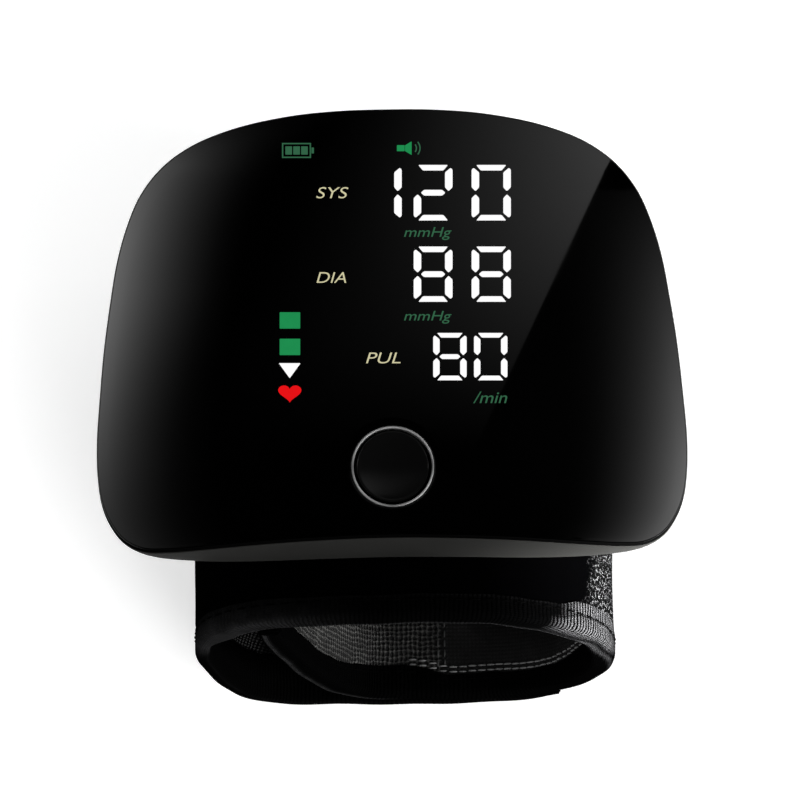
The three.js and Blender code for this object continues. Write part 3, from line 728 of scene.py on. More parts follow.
build_window()

# ------------------------------------------------------------------ button and ring
TILT = math.atan(2 * SAG * -BUTTON_Y / 1024)


def lathe(name, prof, n, mats, axis_closed=False):
    """prof is (r, z) from the bottom up. Placed at the button, leaning as the face does there."""
    rot = Matrix.Rotation(TILT, 3, "X")
    at = Vector((0, BUTTON_Y, float(face_z(0, BUTTON_Y))))
    v, f = [], []
    for r, z in prof:
        for j in range(n):
            a = 2 * math.pi * j / n
            v.append(at + rot @ Vector((r * math.cos(a), r * math.sin(a), z)))
    k = len(prof)
    f = grid_faces(k, n)
    if axis_closed:
        for row, z in ((0, prof[0][1]), (k - 1, prof[-1][1])):
            c = len(v)
            v.append(at + rot @ Vector((0, 0, z)))
            for j in range(n):
                f.append((c, row * n + (j + 1) % n, row * n + j))
    else:
        for j in range(n):
            f.append(((k - 1) * n + j, (k - 1) * n + (j + 1) % n, (j + 1) % n, j))
    return make(name, v, f, mats)


ring_prof = [(5.66, -1.2), (5.94, -1.2), (5.94, -1.15)]
for a in range(0, 181, 15):          # a low rounded top
    ring_prof.append((5.80 + 0.14 * math.cos(R(a)), 0.0 + 0.10 * math.sin(R(a))))
ring_prof.append((5.66, -1.15))
ring_o = lathe("ring_trim", ring_prof, 160, [M["ring"]])
ride_slot(ring_o, "body", "ring_silver", "button_ring")

cap_prof = [(0.6, -4.6), (1.5, -4.6), (1.6, -4.5), (1.6, -4.1), (6.2, -4.1), (6.3, -4.0), (6.3, -3.5), (6.2, -3.45),
            (5.25, -3.45), (5.2, -3.3), (5.2, -0.3)]
for a in range(0, 91, 15):
    cap_prof.append((5.0 + 0.2 * math.cos(R(a)), -0.24 + 0.2 * math.sin(R(a))))
for q in np.linspace(1, 0, 22)[1:-1]:
    cap_prof.append((5.0 * q, -0.5 + 0.46 * q ** 2.2))
cap = lathe("touch_button", cap_prof, 160, [M["cap"]], axis_closed=True)
ride_slot(cap, "button", "button_cap", "power_button")

# ------------------------------------------------------------------ front housing
DISP = (-17.3, 18.2, -13.2, 27.3)


def base_of(x, y):
    return x * (1 - 13.9 / 42.85), np.where(y < 0, y * (1 - 0.9 / 32.3), y * (1 - 5 / 32))


def build_housing():
    n = 360
    cx, cy = 0.0, -6.0
    th, ox, oy, nx, ny = polar_outline(cx, cy, n)
    lx, ly = base_of(ox, oy)
    tx, ty = np.roll(lx, -1) - np.roll(lx, 1), np.roll(ly, -1) - np.roll(ly, 1)
    tl = np.hypot(tx, ty)
    mx, my = ty / tl, -tx / tl
    zt = face_z(ox, oy) - 1.7
    zb = 52 - 1.5 * (lx / 28) ** 2

    def wall(inset_u, inset_l, drop, phi):
        ux, uy = ox - nx * inset_u, oy - ny * inset_u
        vx, vy = lx - mx * inset_l, ly - my * inset_l
        c, s = 1 - math.cos(R(phi)), math.sin(R(phi))
        return ux + (vx - ux) * c, uy + (vy - uy) * c, zt - (zt - (zb + drop)) * s

    rows = []
    for f in (0.12, 0.3, 0.5, 0.7, 0.85, 0.95):
        x, y = cx + (ox - cx) * f, cy + (oy - cy) * f
        rows.append((x, y, face_z(x, y) - 1.7))
    for a in (90, 60, 30, 0):               # small rounding below the window
        k = 0.25 * (1 - math.cos(R(a)))
        rows.append((ox - nx * k, oy - ny * k, zt - 0.25 * (1 - math.sin(R(a)))))
    for phi in np.linspace(2.5, 86, 30):
        rows.append(wall(0, 0, 0, phi))
    x, y, z = wall(0, 0, 0, 90)
    for a in (15, 45, 75, 90):              # rounding at the lower rim
        rows.append((x - mx * 0.35 * (1 - math.cos(R(a))), y - my * 0.35 * (1 - math.cos(R(a))), z + 0.0 - 0.0 * a))
    rows.append((lx - mx * 1.35, ly - my * 1.35, z))
    rows.append((lx - mx * 1.5, ly - my * 1.5, z + 0.15))
    for phi in np.linspace(84, 12, 12):
        rows.append(wall(1.6, 1.5, 1.5, phi))
    for f in (0.93, 0.7, 0.4, 0.12):
        x, y = cx + (ox - nx * 2.2 - cx) * f, cy + (oy - ny * 2.2 - cy) * f
        rows.append((x, y, face_z(x, y) - 3.1))
    v = np.concatenate([np.stack([np.broadcast_to(c, (n,)) for c in r], 1) for r in rows])
    k = len(rows)
    f = grid_faces(k, n)
    for j in range(n):
        f.append(((k - 1) * n + j, (k - 1) * n + (j + 1) % n, (j + 1) % n, j))
    ob = make("front_shell", v, f, [M["housing"]])
    # cutters: display window, button bore, charging socket, sound holes
    bm = bmesh.new()

    def prism(points, z0, z1):
        a = [bm.verts.new((x / 1000, (y + SY) / 1000, z0 / 1000)) for x, y in points]
        b = [bm.verts.new((x / 1000, (y + SY) / 1000, z1 / 1000)) for x, y in points]
        bm.faces.new(a[::-1])
        bm.faces.new(b)
        for i in range(len(a)):
            j = (i + 1) % len(a)
            bm.faces.new((a[i], a[j], b[j], b[i]))

    def slot_y(x0, x1, z0, z1, r, y0, y1, flare=0.0):
        ringa, ringb = [], []
        for cx_, cz_, a0 in ((x1 - r, z0 + r, -90), (x1 - r, z1 - r, 0), (x0 + r, z1 - r, 90), (x0 + r, z0 + r, 180)):
            for i in range(9):
                a = R(a0 + i * 90 / 8)
                ringa.append(bm.verts.new(((cx_ + r * math.cos(a)) / 1000, (y0 + SY) / 1000, (cz_ + r * math.sin(a)) / 1000)))
                ringb.append(bm.verts.new(((cx_ + (r + flare) * math.cos(a)) / 1000, (y1 + SY) / 1000, (cz_ + (r + flare) * math.sin(a)) / 1000)))
        bm.faces.new(ringa)
        bm.faces.new(ringb[::-1])
        m = len(ringa)
        for i in range(m):
            j = (i + 1) % m
            bm.faces.new((ringa[j], ringa[i], ringb[i], ringb[j]))

    x0, x1, y0, y1 = DISP[0] - 0.3, DISP[1] + 0.3, DISP[2] - 0.3, DISP[3] + 0.3
    prism([(x0, y0), (x1, y0), (x1, y1), (x0, y1)], 59.5, 76)
    prism([(5.6 * math.cos(R(a)), BUTTON_Y + 5.6 * math.sin(R(a))) for a in range(0, 360, 6)], 59.5, 76)
    for hx, hy in ((-32, -8), (-30, -5.6), (-34, -5.6), (-30, -10.4), (-34, -10.4)):
        prism([(hx + 0.7 * math.cos(R(a)), hy + 0.7 * math.sin(R(a))) for a in range(0, 360, 20)], 44, 54.4)
    slot_y(-4.9, 4.9, 53.9, 57.7, 1.8, 22.5, 36, 0.0)
    bmesh.ops.recalc_face_normals(bm, faces=bm.faces)
    me = bpy.data.meshes.new("cutter")
    bm.to_mesh(me)
    bm.free()
    cutter = bpy.data.objects.new("cutter", me)
    COL.objects.link(cutter)
    cut(ob, cutter)
    tidy(ob.data, 36)
    return ride_slot(ob, "body", "housing", "front_housing")


build_housing()

# ------------------------------------------------------------------ readings: thin lit shapes that follow the face
def on_face_many(pts, h):
    out = []
    for px, py in pts:
        p = on_face(px, py)
        out.append(p + face_n(p.x, p.y) * h)
    return out


def rounded(poly, r, seg=3):
    """Rounds a polygon's corners by r pixels."""
    out = []
    n = len(poly)
    for i in range(n):
        a, b, c = Vector(poly[i - 1]), Vector(poly[i]), Vector(poly[(i + 1) % n])
        k1 = min(r, (a - b).length * 0.45)
        k2 = min(r, (c - b).length * 0.45)
        p, q = b + (a - b).normalized() * k1, b + (c - b).normalized() * k2
        for j in range(seg + 1):
            t = j / seg
            out.append(tuple(p * (1 - t) ** 2 + b * 2 * t * (1 - t) + q * t * t))
    return out


LOW, HIGH = -0.03, 0.03


def lit_shapes(name, polys, mat, slot):
    """One thin closed solid for each outline given in pixels of the picture."""
    v, f = [], []
    for poly in polys:
        n, b = len(poly), len(v)
        v += on_face_many(poly, LOW) + on_face_many(poly, HIGH)
        f.append(tuple(range(b, b + n))[::-1])
        f.append(tuple(range(b + n, b + 2 * n)))
        for i in range(n):
            j = (i + 1) % n
            f.append((b + i, b + j, b + n + j, b + n + i))
    ob = make(name, [tuple(p) for p in v], f, [mat])
    return ride_slot(ob, "body", slot)


def digit(which, x0, y0, w, h, tv, th):
    """Outlines of a seven-bar figure's lit bars, in pixels."""
    g = 0.21 * tv                         # half the gap between two bars
    x1, y1 = x0 + w, y0 + h
    ym = (y0 + y1) / 2
    bars = {
        "a": [(x0 + tv * 0.62, y0), (x1 - tv * 0.62, y0), (x1 - tv * 1.22, y0 + th), (x0 + tv * 1.22, y0 + th)],
        "d": [(x0 + tv * 1.22, y1 - th), (x1 - tv * 1.22, y1 - th), (x1 - tv * 0.62, y1), (x0 + tv * 0.62, y1)],
        "g": [(x0 + tv * 0.95, ym), (x0 + tv * 1.38, ym - th * 0.52), (x1 - tv * 1.38, ym - th * 0.52), (x1 - tv * 0.95, ym),
              (x1 - tv * 1.38, ym + th * 0.52), (x0 + tv * 1.38, ym + th * 0.52)],
        "f": [(x0, y0 + tv * 0.62), (x0 + tv * 0.26, y0 + tv * 0.38), (x0 + tv, y0 + tv * 1.0), (x0 + tv, ym - tv * 0.72),
              (x0 + tv * 0.53, ym - g), (x0, ym - tv * 0.72)],
    }

    def mx(p):
        return [(x0 + x1 - a, b) for a, b in p]

    def my(p):
        return [(a, y0 + y1 - b) for a, b in p]

    bars["b"], bars["e"] = mx(bars["f"]), my(bars["f"])
    bars["c"] = mx(bars["e"])
    lit = {"0": "abcdef", "1": "bc", "2": "abged", "8": "abcdefg"}[which]
    return [rounded(bars[k], 0.16 * tv) for k in lit]


bars = []
bars += digit("1", 401.7 - 38.8, 165.0, 38.8, 55.5, 7.5, 5.5)
bars += digit("2", 413.7, 165.0, 38.8, 55.5, 7.5, 5.5)
bars += digit("0", 471.6, 165.0, 39.2, 55.5, 7.5, 5.5)
bars += digit("8", 413.7, 246.6, 38.8, 55.2, 7.5, 5.5)
bars += digit("8", 471.6, 246.6, 39.2, 55.2, 7.5, 5.5)
bars += digit("8", 433.2, 333.0, 33.4, 47.3, 6.4, 4.6)
bars += digit("0", 474.0, 333.0, 33.4, 47.3, 6.4, 4.6)
lit_shapes("reading_digits", bars, M["white"], "led_white")
lit_shapes("level_pointer", [rounded([(278.8, 363.2), (300.6, 363.2), (289.7, 378.2)], 0.8)], M["white"], "led_white")
lit_shapes("level_squares", [rounded([(279.7, a), (300.2, a), (300.2, a + 16.3), (279.7, a + 16.3)], 0.7) for a in (312.3, 338.8)],
           M["green"], "led_green")


def heart():
    out = []
    for i in range(64):
        t = 2 * math.pi * i / 64
        x = 16 * math.sin(t) ** 3
        y = 13 * math.cos(t) - 5 * math.cos(2 * t) - 2 * math.cos(3 * t) - math.cos(4 * t)
        out.append((289.8 + x * 11.6 / 16, 392.6 - y * 0.6))
    return out


lit_shapes("pulse_heart", [heart()], M["red"], "led_red")


def arc_band(cx, cy, r, w, a0, a1, n=14):
    o = [(cx + (r + w / 2) * math.cos(R(a)), cy + (r + w / 2) * math.sin(R(a))) for a in np.linspace(a0, a1, n)]
    i = [(cx + (r - w / 2) * math.cos(R(a)), cy + (r - w / 2) * math.sin(R(a))) for a in np.linspace(a1, a0, n)]
    return o + i


speaker = [rounded([(396.9, 145.2), (404.6, 145.2), (404.6, 151.2), (396.9, 151.2)], 0.6),
           rounded([(405.0, 145.4), (411.6, 141.4), (411.6, 155.0), (405.0, 151.0)], 0.5)]
lit_shapes("sound_mark", speaker, M["green"], "led_green")
lit_shapes("sound_waves", [arc_band(410.4, 148.2, 6.0, 1.2, -38, 38), arc_band(410.4, 148.2, 9.6, 1.2, -40, 40)],
           M["green_dim"], "led_green")

# a plain battery sign in the upper left corner of the readings
lit_shapes("battery_frame", [[(282, 143), (311, 143), (311, 144.3), (283.3, 144.3), (283.3, 156.7), (309.7, 156.7),
                              (309.7, 144.3), (311, 144.3), (311, 158), (282, 158)]], M["green_dim"], "led_green")
lit_shapes("battery_cells", [rounded([(a, 146.4), (a + 6.6, 146.4), (a + 6.6, 154.6), (a, 154.6)], 0.4) for a in (285.4, 293.3, 301.2)]
           + [rounded([(311.5, 147.6), (313.9, 147.6), (313.9, 153.4), (311.5, 153.4)], 0.4)], M["green_dim"], "led_green")


def label(name, text, x0, x1, y0, y1, mat, slot, shear=0.24, bold=0.0):
    """Slanted letters that fill the box x0..x1, y0..y1 of the picture, as thin solids on the face."""
    cu = bpy.data.curves.new(name, "FONT")
    cu.body, cu.size, cu.shear, cu.offset = text, 1.0, shear, bold
    cu.resolution_u = 6
    tmp = bpy.data.objects.new(name + "_tmp", cu)
    COL.objects.link(tmp)
    bpy.context.view_layer.update()
    me = bpy.data.meshes.new_from_object(tmp.evaluated_get(bpy.context.evaluated_depsgraph_get()))
    bpy.data.objects.remove(tmp)
    bm = bmesh.new()
    bm.from_mesh(me)
    bmesh.ops.remove_doubles(bm, verts=bm.verts, dist=1e-5)
    xs, ys = [v.co.x for v in bm.verts], [v.co.y for v in bm.verts]
    ax, bx, ay, by = min(xs), max(xs), min(ys), max(ys)
    bmesh.ops.recalc_face_normals(bm, faces=bm.faces)
    got = bmesh.ops.extrude_face_region(bm, geom=bm.faces[:])
    top = {e for e in got["geom"] if isinstance(e, bmesh.types.BMVert)}
    for v in bm.verts:
        px = x0 + (v.co.x - ax) / (bx - ax) * (x1 - x0)
        py = y1 - (v.co.y - ay) / (by - ay) * (y1 - y0)
        p = on_face(px, py)
        p = p + face_n(p.x, p.y) * (HIGH if v in top else LOW)
        v.co = Vector((p.x, p.y + SY, p.z)) / 1000
    bmesh.ops.recalc_face_normals(bm, faces=bm.faces)
    bm.to_mesh(me)
    bm.free()
    me.materials.clear()
    me.materials.append(mat)
    ob = bpy.data.objects.new(name, me)
    COL.objects.link(ob)
    return ride_slot(ob, "body", slot)


label("label_upper", "SYS", 316.3, 348.3, 187.2, 198.3, M["yellow"], "led_yellow", bold=-0.006)
label("label_lower", "DIA", 316.6, 346.2, 272.2, 282.8, M["yellow"], "led_yellow", bold=-0.006)
label("label_pulse", "PUL", 366.0, 400.6, 352.6, 363.4, M["yellow"], "led_yellow", bold=-0.006)
label("unit_upper", "mmHg", 404.0, 451.6, 227.2, 240.0, M["green_dim"], "led_green", bold=0.0)
label("unit_lower", "mmHg", 404.0, 451.6, 311.0, 323.6, M["green_dim"], "led_green", bold=0.0)
label("unit_pulse", "/min", 473.2, 507.2, 391.6, 403.2, M["green_dim"], "led_green", bold=0.0)

# ------------------------------------------------------------------ cuff
S_A = (S_FLAP + S_LEFT) / 2             # where one cloth piece ends and the next begins
S_B = (S_LEFT + S_RIGHT) / 2
S_C = S_RIGHT + 16
PARTS = {                                # name: from, to, the CAD nodes' prefixes, the two bodies and the hinge's station
    "flap": (0.0, S_A, ("flap", "strap_left"), ("closing_flap", "cuff_left"), S_FLAP),
    "left": (S_A, S_B, ("strap_left", "cuff_top"), ("cuff_left", "body"), S_LEFT),
    "right": (S_B, S_C, ("cuff_top", "cuff_right"), ("body", "cuff_right"), S_RIGHT),
    "inner": (S_C, S_END, ("cuff_right",), ("cuff_right",), None),
}


def stations(s0, s1, step):
    return np.linspace(s0, s1, max(2, int(round((s1 - s0) / step)) + 1))


def sweep(ss, prof):
    """Vertices, faces and uvs of a closed section drawn along the cuff. prof(s) gives (y, depth, v) rows."""
    rows = [np.asarray(prof(s), float) for s in ss]
    m = len(rows[0])
    V, UV = [], []
    for s, r in zip(ss, rows):
        x, z, tx, tz, nx, nz = path(s)
        V.append(np.stack([x + nx * r[:, 1], r[:, 0], z + nz * r[:, 1]], 1))
        UV.append(np.stack([np.full(m, s / 10), r[:, 2] / 10], 1))
    V, UV = np.concatenate(V), np.concatenate(UV)
    F = grid_faces(len(rows), m)
    F.append(tuple(range(m))[::-1])
    F.append(tuple((len(rows) - 1) * m + j for j in range(m)))
    return V, F, UV


def wave(s, y, k=1.0):
    """Slow unevenness of sewn cloth, in mm. It fades out where the strap lies on the table."""
    k = k * (0.15 + 0.85 * float(smooth((s - 39) / 18)))
    return k * (0.05 * math.sin(0.31 * s + 1.7 * math.sin(0.11 * y)) + 0.05 * math.sin(0.19 * s - 0.23 * y + 1.0)
                + 0.03 * math.sin(0.83 * s + 0.37 * y))


def pucker(s, w):
    """Small gathers beside the stitched edge, fading over 7 mm. w is the distance from the tape."""
    return 0.10 * math.sin(1.45 * s + 0.9 * math.sin(0.4 * s)) * max(0.0, 1 - w / 7) ** 2


def on_body(ob, part):
    s0, s1, _, bodies, hinge = PARTS[part]
    if hinge is None:
        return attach(ob, bodies[0])

    def at(s):
        x, z, *_ = path(s)
        return (x / 1000, 0, z / 1000)
    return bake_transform(ob)


OUT_W, IN_W = 3.4, 5.0


def out_w(s):
    """Width of the tape on the outer face: wider round the right shoulder, where a second tape end is sewn in."""
    return OUT_W + 1.1 * float(smooth((s - (SHOULDER_HIGHLIGHT_SPAN[0] + 0.5)) / 5) * (1 - smooth((s - (SHOULDER_HIGHLIGHT_SPAN[1] - 4)) / 8)))


def groove(s):
    """How far the stitched groove lies from the tape's outer edge."""
    return 0.75 + 1.1 * float(smooth((s - (SHOULDER_HIGHLIGHT_SPAN[0] + 0.5)) / 5) * (1 - smooth((s - (SHOULDER_HIGHLIGHT_SPAN[1] - 4)) / 8)))


def at_bottom(x):
    """The station on the lowest inner layer above x."""
    z = float(np.interp(x, [-14, -9.1, -5.2, 0, 6, 16, 20, 24, 27.4], [17, 7.0, 3.5, 2.4, 2.3, 2.6, 3.6, 5.6, 8.9]))
    return station(x, z, S_RIGHT + 20, S_END)


_IN = [(S_RIGHT + 10, IN_W), (at_bottom(26.4), 3.2), (at_bottom(21.8), 3.1), (at_bottom(15.6), 3.3), (at_bottom(8.0), 3.0),
       (at_bottom(3.8), 4.2), (at_bottom(1.2), 4.4), (at_bottom(-7.5), 4.2), (at_bottom(-10.3), 3.8), (S_END - 25, 3.3), (S_END + 9, 3.3)]


def in_w(s):
    """Width of the tape on the inner face: wide on the flap, narrow and uneven along the bottom."""
    if s < S_RIGHT:
        return IN_W + 1.8 * float(smooth((S_A + 6 - s) / 16))
    return float(np.interp(s, [q[0] for q in _IN], [q[1] for q in _IN]))


def sheet_profile(d0, d1, side):
    """Section of one cloth layer. d0 and d1 are functions of s; 'side' says which face shows: 0 outer, 1 inner."""
    ys = np.linspace(CY0 + 1.1, CY1 - 1.1, 56)

    def prof(s):
        a, b = d0(s), d1(s)
        shown = []
        for y in ys:
            w = min(y - CY0, CY1 - y) - (out_w(s) if side == 0 else in_w(s))
            q = (wave(s, y) + pucker(s, max(w, 0))) * float(smooth((w + 0.4) / 1.6))
            press = 0.16 * float(smooth((0.5 - w) / 0.9))          # held down by the tape
            shown.append(q + (press if side == 0 else -press))
        rows = []
        for y, q in zip(ys, shown):
            rows.append((y, a + (q if side == 0 else 0.0), y))
        for y, q in zip(ys[::-1], shown[::-1]):
            rows.append((y, b + (q if side == 1 else 0.0), y))
        return rows
    return prof


def build_layer(name, part, d0, d1, side, mat, nodes, s0=None, s1=None):
    a, b = PARTS[part][:2]
    a, b = s0 if s0 is not None else a, s1 if s1 is not None else b
    V, F, UV = sweep(stations(a, b, 0.9), sheet_profile(d0, d1, side))
    ob = make(name, V, F, [mat], uvs=UV, smooth_angle=60)
    on_body(ob, part)
    if nodes:
        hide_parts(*nodes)
    return ob


OUT0 = lambda s: 0.0
OUT1 = lambda s: min(0.85 if s > S_LEFT - 6 else 0.9, 0.48 * thick(s))
IN0 = lambda s: max(thick(s) - 0.8, 0.5 * thick(s) + 0.02)
IN1 = lambda s: thick(s)

for part in PARTS:
    pre = PARTS[part][2]
    build_layer(f"outer_cloth_{part}", part, OUT0, OUT1, 0, M["loop"], [f"{p}_fabric" for p in pre],
                s0=0.3 if part == "flap" else None, s1=S_END - 0.3 if part == "inner" else None)

SEAM = station(7.2, 2.3, S_RIGHT, S_END)          # where the smooth lining meets the mesh one
build_layer("flap_hooks", "flap", IN0, IN1, 1, M["hook"], ["flap_hook", "strap_left_lining"], s0=0.8)
build_layer("lining_left", "left", IN0, IN1, 1, M["strap_in"], ["strap_left_lining", "cuff_top_lining"])
build_layer("lining_right", "right", IN0, IN1, 1, M["knit"], ["cuff_top_lining", "cuff_right_lining"])
build_layer("lining_smooth", "inner", IN0, IN1, 1, M["knit"], ["cuff_right_lining"], s1=SEAM)
build_layer("lining_mesh", "inner", IN0, IN1, 1, M["mesh"], ["cuff_right_lining"], s0=SEAM, s1=S_END - 0.4)


def tape_section(T, out_w, in_w, t=0.42, lift=0.2, dip=0.75):
    """Folded tape round an edge of thickness T: (w, depth) points, w measured in from the rim."""
    r = min(1.0, T * 0.42)
    a, b = -min(lift, 0.14), T + lift
    outer, inner = [], []
    for w in np.linspace(out_w, r, 8):
        k = 0.07 * math.exp(-((w - (out_w - dip)) / 0.22) ** 2)
        outer.append((w, a + k))
    for g in np.linspace(0, 90, 7)[1:]:
        outer.append((r - r * math.sin(R(g)), a + r - r * math.cos(R(g))))
    for q in np.linspace(a + r, b - r, 5)[1:]:
        outer.append((0.0, q))
    for g in np.linspace(0, 90, 7)[1:]:
        outer.append((r - r * math.cos(R(g)), b - r + r * math.sin(R(g))))
    for w in np.linspace(r, in_w, 9)[1:]:
        k = 0.07 * math.exp(-((w - (in_w - 0.75)) / 0.22) ** 2)
        outer.append((w, b - k))
    r2 = min(max(0.15, r - t), max(0.02, (b - a) / 2 - t - 0.01))
    for w in np.linspace(in_w, t + r2, 6):
        inner.append((w, b - t))
    for g in np.linspace(0, 90, 4)[1:]:
        inner.append((t + r2 - r2 * math.sin(R(g)), b - t - r2 + r2 * math.cos(R(g))))
    for q in np.linspace(b - t - r2, a + t + r2, 4)[1:]:
        inner.append((t, q))
    for g in np.linspace(0, 90, 4)[1:]:
        inner.append((t + r2 - r2 * math.cos(R(g)), a + t + r2 - r2 * math.sin(R(g))))
    for w in np.linspace(t + r2, out_w, 5)[1:]:
        inner.append((w, a + t))
    # round the two cut ends
    def cap_pts(p, q):
        m = ((p[0] + q[0]) / 2 + 0.12, (p[1] + q[1]) / 2)
        return [m]
    return outer + cap_pts(outer[-1], inner[0]) + inner + cap_pts(inner[-1], outer[0])


def capsule(c, axis, up, length, r, n=6):
    """A short thread: a closed rounded rod, slightly humped."""
    c, axis, up = Vector(c), Vector(axis).normalized(), Vector(up).normalized()
    side = axis.cross(up)
    v, f = [], []
    prof = [(-0.5, 0.0), (-0.46, 0.55), (-0.3, 0.95), (0, 1.05), (0.3, 0.95), (0.46, 0.55), (0.5, 0.0)]
    rings = []
    for q, k in prof:
        hump = up * (r * 0.9 * (1 - (2 * q) ** 2) - r * 0.5)
        if k == 0:
            rings.append([len(v)])
            v.append(c + axis * (q * length) + hump)
            continue
        ids = []
        for j in range(n):
            a = 2 * math.pi * j / n
            ids.append(len(v))
            v.append(c + axis * (q * length) + hump + (side * math.cos(a) + up * math.sin(a)) * (r * k))
        rings.append(ids)
    for a, b in zip(rings, rings[1:]):
        for j in range(n):
            k = (j + 1) % n
            if len(a) == 1:
                f.append((a[0], b[k], b[j]))
            elif len(b) == 1:
                f.append((a[j], a[k], b[0]))
            else:
                f.append((a[j], a[k], b[k], b[j]))
    return v, f


def add_stitches(V, F, UV, MI, spots, length, r, mi):
    """spots: (point, axis, up) for each stitch."""
    V, UV = [tuple(p) for p in V], [tuple(p) for p in UV]
    for c, axis, up in spots:
        v, f = capsule(c, axis, up, length, r)
        b = len(V)
        V += [tuple(p) for p in v]
        UV += [(0.0, 0.0)] * len(v)
        F += [tuple(b + i for i in q) for q in f]
        MI += [mi] * len(f)
    return V, F, UV, MI


def build_tape(part, front):
    s0, s1, pre = PARTS[part][:3]
    ends = {"flap": (0.0, None), "inner": (None, S_END)}.get(part, (None, None))
    a = s0 if ends[0] is None else 0.0
    b = s1 if ends[1] is None else S_END

    def prof(s):
        T = float(thick(s))
        sec = tape_section(T, out_w(s), in_w(s), t=min(0.42, 0.12 + T / 6.6), lift=min(0.2, 0.05 + T / 13), dip=groove(s))
        edge = 0.10 * math.sin(0.21 * s) + 0.06 * math.sin(0.57 * s + 1)
        rows, v, last = [], 0.0, None
        for w, d in sec:
            if last is not None:
                v += math.hypot(w - last[0], d - last[1])
            last = (w, d)
            k = 0.05 * math.sin(1.3 * s + 0.5 * w) * min(1, w / 2) + wave(s, w, 0.6)
            y = CY0 + w + edge if front else CY1 - w - edge
            rows.append((y, d + k, v))
        return rows
    ss = stations(a, b, 0.7)
    V, F, UV = sweep(ss, prof)
    rim_highlight, lit = [], []
    m = len(prof(ss[0]))
    at_r = np.arange(m)
    for s in ss:
        far = float(smooth((s - (S_RIGHT + 34)) / 14))             # the far layer shows its outer side instead
        # the painted rim highlight runs along the inner edge and crosses to the outer one on the right side
        c = 18.2 - 2.4 * float(smooth((s - (S_RIGHT - 3)) / 7)) - 4.4 * float(smooth((s - (S_RIGHT + 4)) / 12))
        near = np.clip(1 - np.abs(at_r - c) / 1.5, 0, 1)
        k = 1 - 0.93 * float(1 - smooth((s - (S_LEFT - 4)) / 10))
        k *= 1 - 0.5 * float(1 - smooth((s - (S_LEFT + 8)) / 30))
        k *= 1 - float(smooth((s - (S_RIGHT + 10)) / 9))
        # a soft painted highlight over the tape near the left hinge
        haze = 0.5 * float(smooth((s - (S_LEFT - 10)) / 10) * (1 - smooth((s - (S_LEFT + 6)) / 26)))
        soft = haze * np.clip((at_r + 1) / 12, 0, 1) * np.clip((21 - at_r) / 2, 0, 1)
        row = np.maximum(near * k, soft * 0.55) * (1 - far)
        # on the far layer the painted highlight lies on the outer fold
        out = np.zeros(m)
        out[[12, 13, 14]] = [0.9, 1.0, 0.15]
        row = row + out * far * 0.42 * float(smooth((s - at_bottom(2.5)) / 10))
        rim_highlight.append(row)
        # rows of the outer face that take the painted shoulder highlight
        lit.append(np.clip((c - 2.0 - at_r) / 2.2, 0, 1))
    lit = np.concatenate(lit)
    rim_highlight = np.concatenate(rim_highlight)
    MI = [0] * len(F)
    spots = []
    for s in [q for q in np.arange(1.6, S_END - 1, 2.3) if a <= q < b]:
        x, z, tx, tz, nx, nz = path(s)
        T = float(thick(s))
        for w, d, out in ((out_w(s) - groove(s), -0.14 + 0.03, -1), (in_w(s) - 0.75, T + 0.2 - 0.03, 1)):
            y = CY0 + w if front else CY1 - w
            d += wave(s, w, 0.6)
            spots.append(((x + nx * d, y, z + nz * d), (tx, 0, tz), (nx * out, 0, nz * out)))
    V, F, UV, MI = add_stitches(V, F, UV, MI, spots, 1.6, 0.13, 1)
    side = "front" if front else "rear"
    ob = make(f"edge_tape_{side}_{part}", V, F, [M["tape"], M["thread_dark"]], uvs=UV, midx=MI, smooth_angle=60)
    at = ob.data.attributes.new("rim_highlight", "FLOAT", "POINT")
    full = np.zeros(len(ob.data.vertices), np.float32)
    full[:len(rim_highlight)] = rim_highlight
    at.data.foreach_set("value", full)
    at = ob.data.attributes.new("shoulder_highlight_rows", "FLOAT", "POINT")
    full = np.zeros(len(ob.data.vertices), np.float32)
    full[:len(lit)] = lit
    at.data.foreach_set("value", full)
    on_body(ob, part)
    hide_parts(*[f"{p}_tape_{side}" for p in pre])
    return ob


for part in PARTS:
    for front in (True, False):
        build_tape(part, front)


def build_end_tape(name, s_end, direction, body, w_out, w_in, lift=0.32):
    """Tape folded over a free end of the cuff, running along Y. direction +1 where the end is at the high s."""
    T = float(thick(s_end))
    sec = tape_section(T, w_out, w_in, t=min(0.4, lift + 0.10), lift=lift)
    ys = np.linspace(CY0 + 0.35, CY1 - 0.35, 60)
    V, UV = [], []
    for y in ys:
        v, last = 0.0, None
        for w, d in sec:
            if last is not None:
                v += math.hypot(w - last[0], d - last[1])
            last = (w, d)
            s = s_end - direction * w + direction * 0.25
            x, z, tx, tz, nx, nz = path(s)
            d2 = d + wave(s, y, 0.5)
            V.append((x + nx * d2, y, z + nz * d2))
            UV.append((y / 10, v / 10))
    m = len(sec)
    F = grid_faces(len(ys), m)
    F.append(tuple(range(m))[::-1])
    F.append(tuple((len(ys) - 1) * m + j for j in range(m)))
    MI = [0] * len(F)
    spots = []
    for y in np.arange(CY0 + 3, CY1 - 2, 2.3):
        for w, d, out in ((w_out - 0.75, -0.14 + 0.03, -1), (w_in - 0.75, T + lift - 0.03, 1)):
            s = s_end - direction * w + direction * 0.25
            x, z, tx, tz, nx, nz = path(s)
            d += wave(s, y, 0.5)
            spots.append(((x + nx * d, y, z + nz * d), (0, 1, 0), (nx * out, 0, nz * out)))
    V, F, UV, MI = add_stitches(V, F, UV, MI, spots, 1.6, 0.13, 1)
    ob = make(name, V, F, [M["tape"], M["thread_dark"]], uvs=UV, midx=MI, smooth_angle=60)
    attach(ob, body)
    return ob


build_end_tape("end_tape_inner", S_END, 1, "cuff_right", 3.4, 4.4)
build_end_tape("end_tape_flap", 0.0, -1, "closing_flap", 3.4, 3.4, lift=0.08)

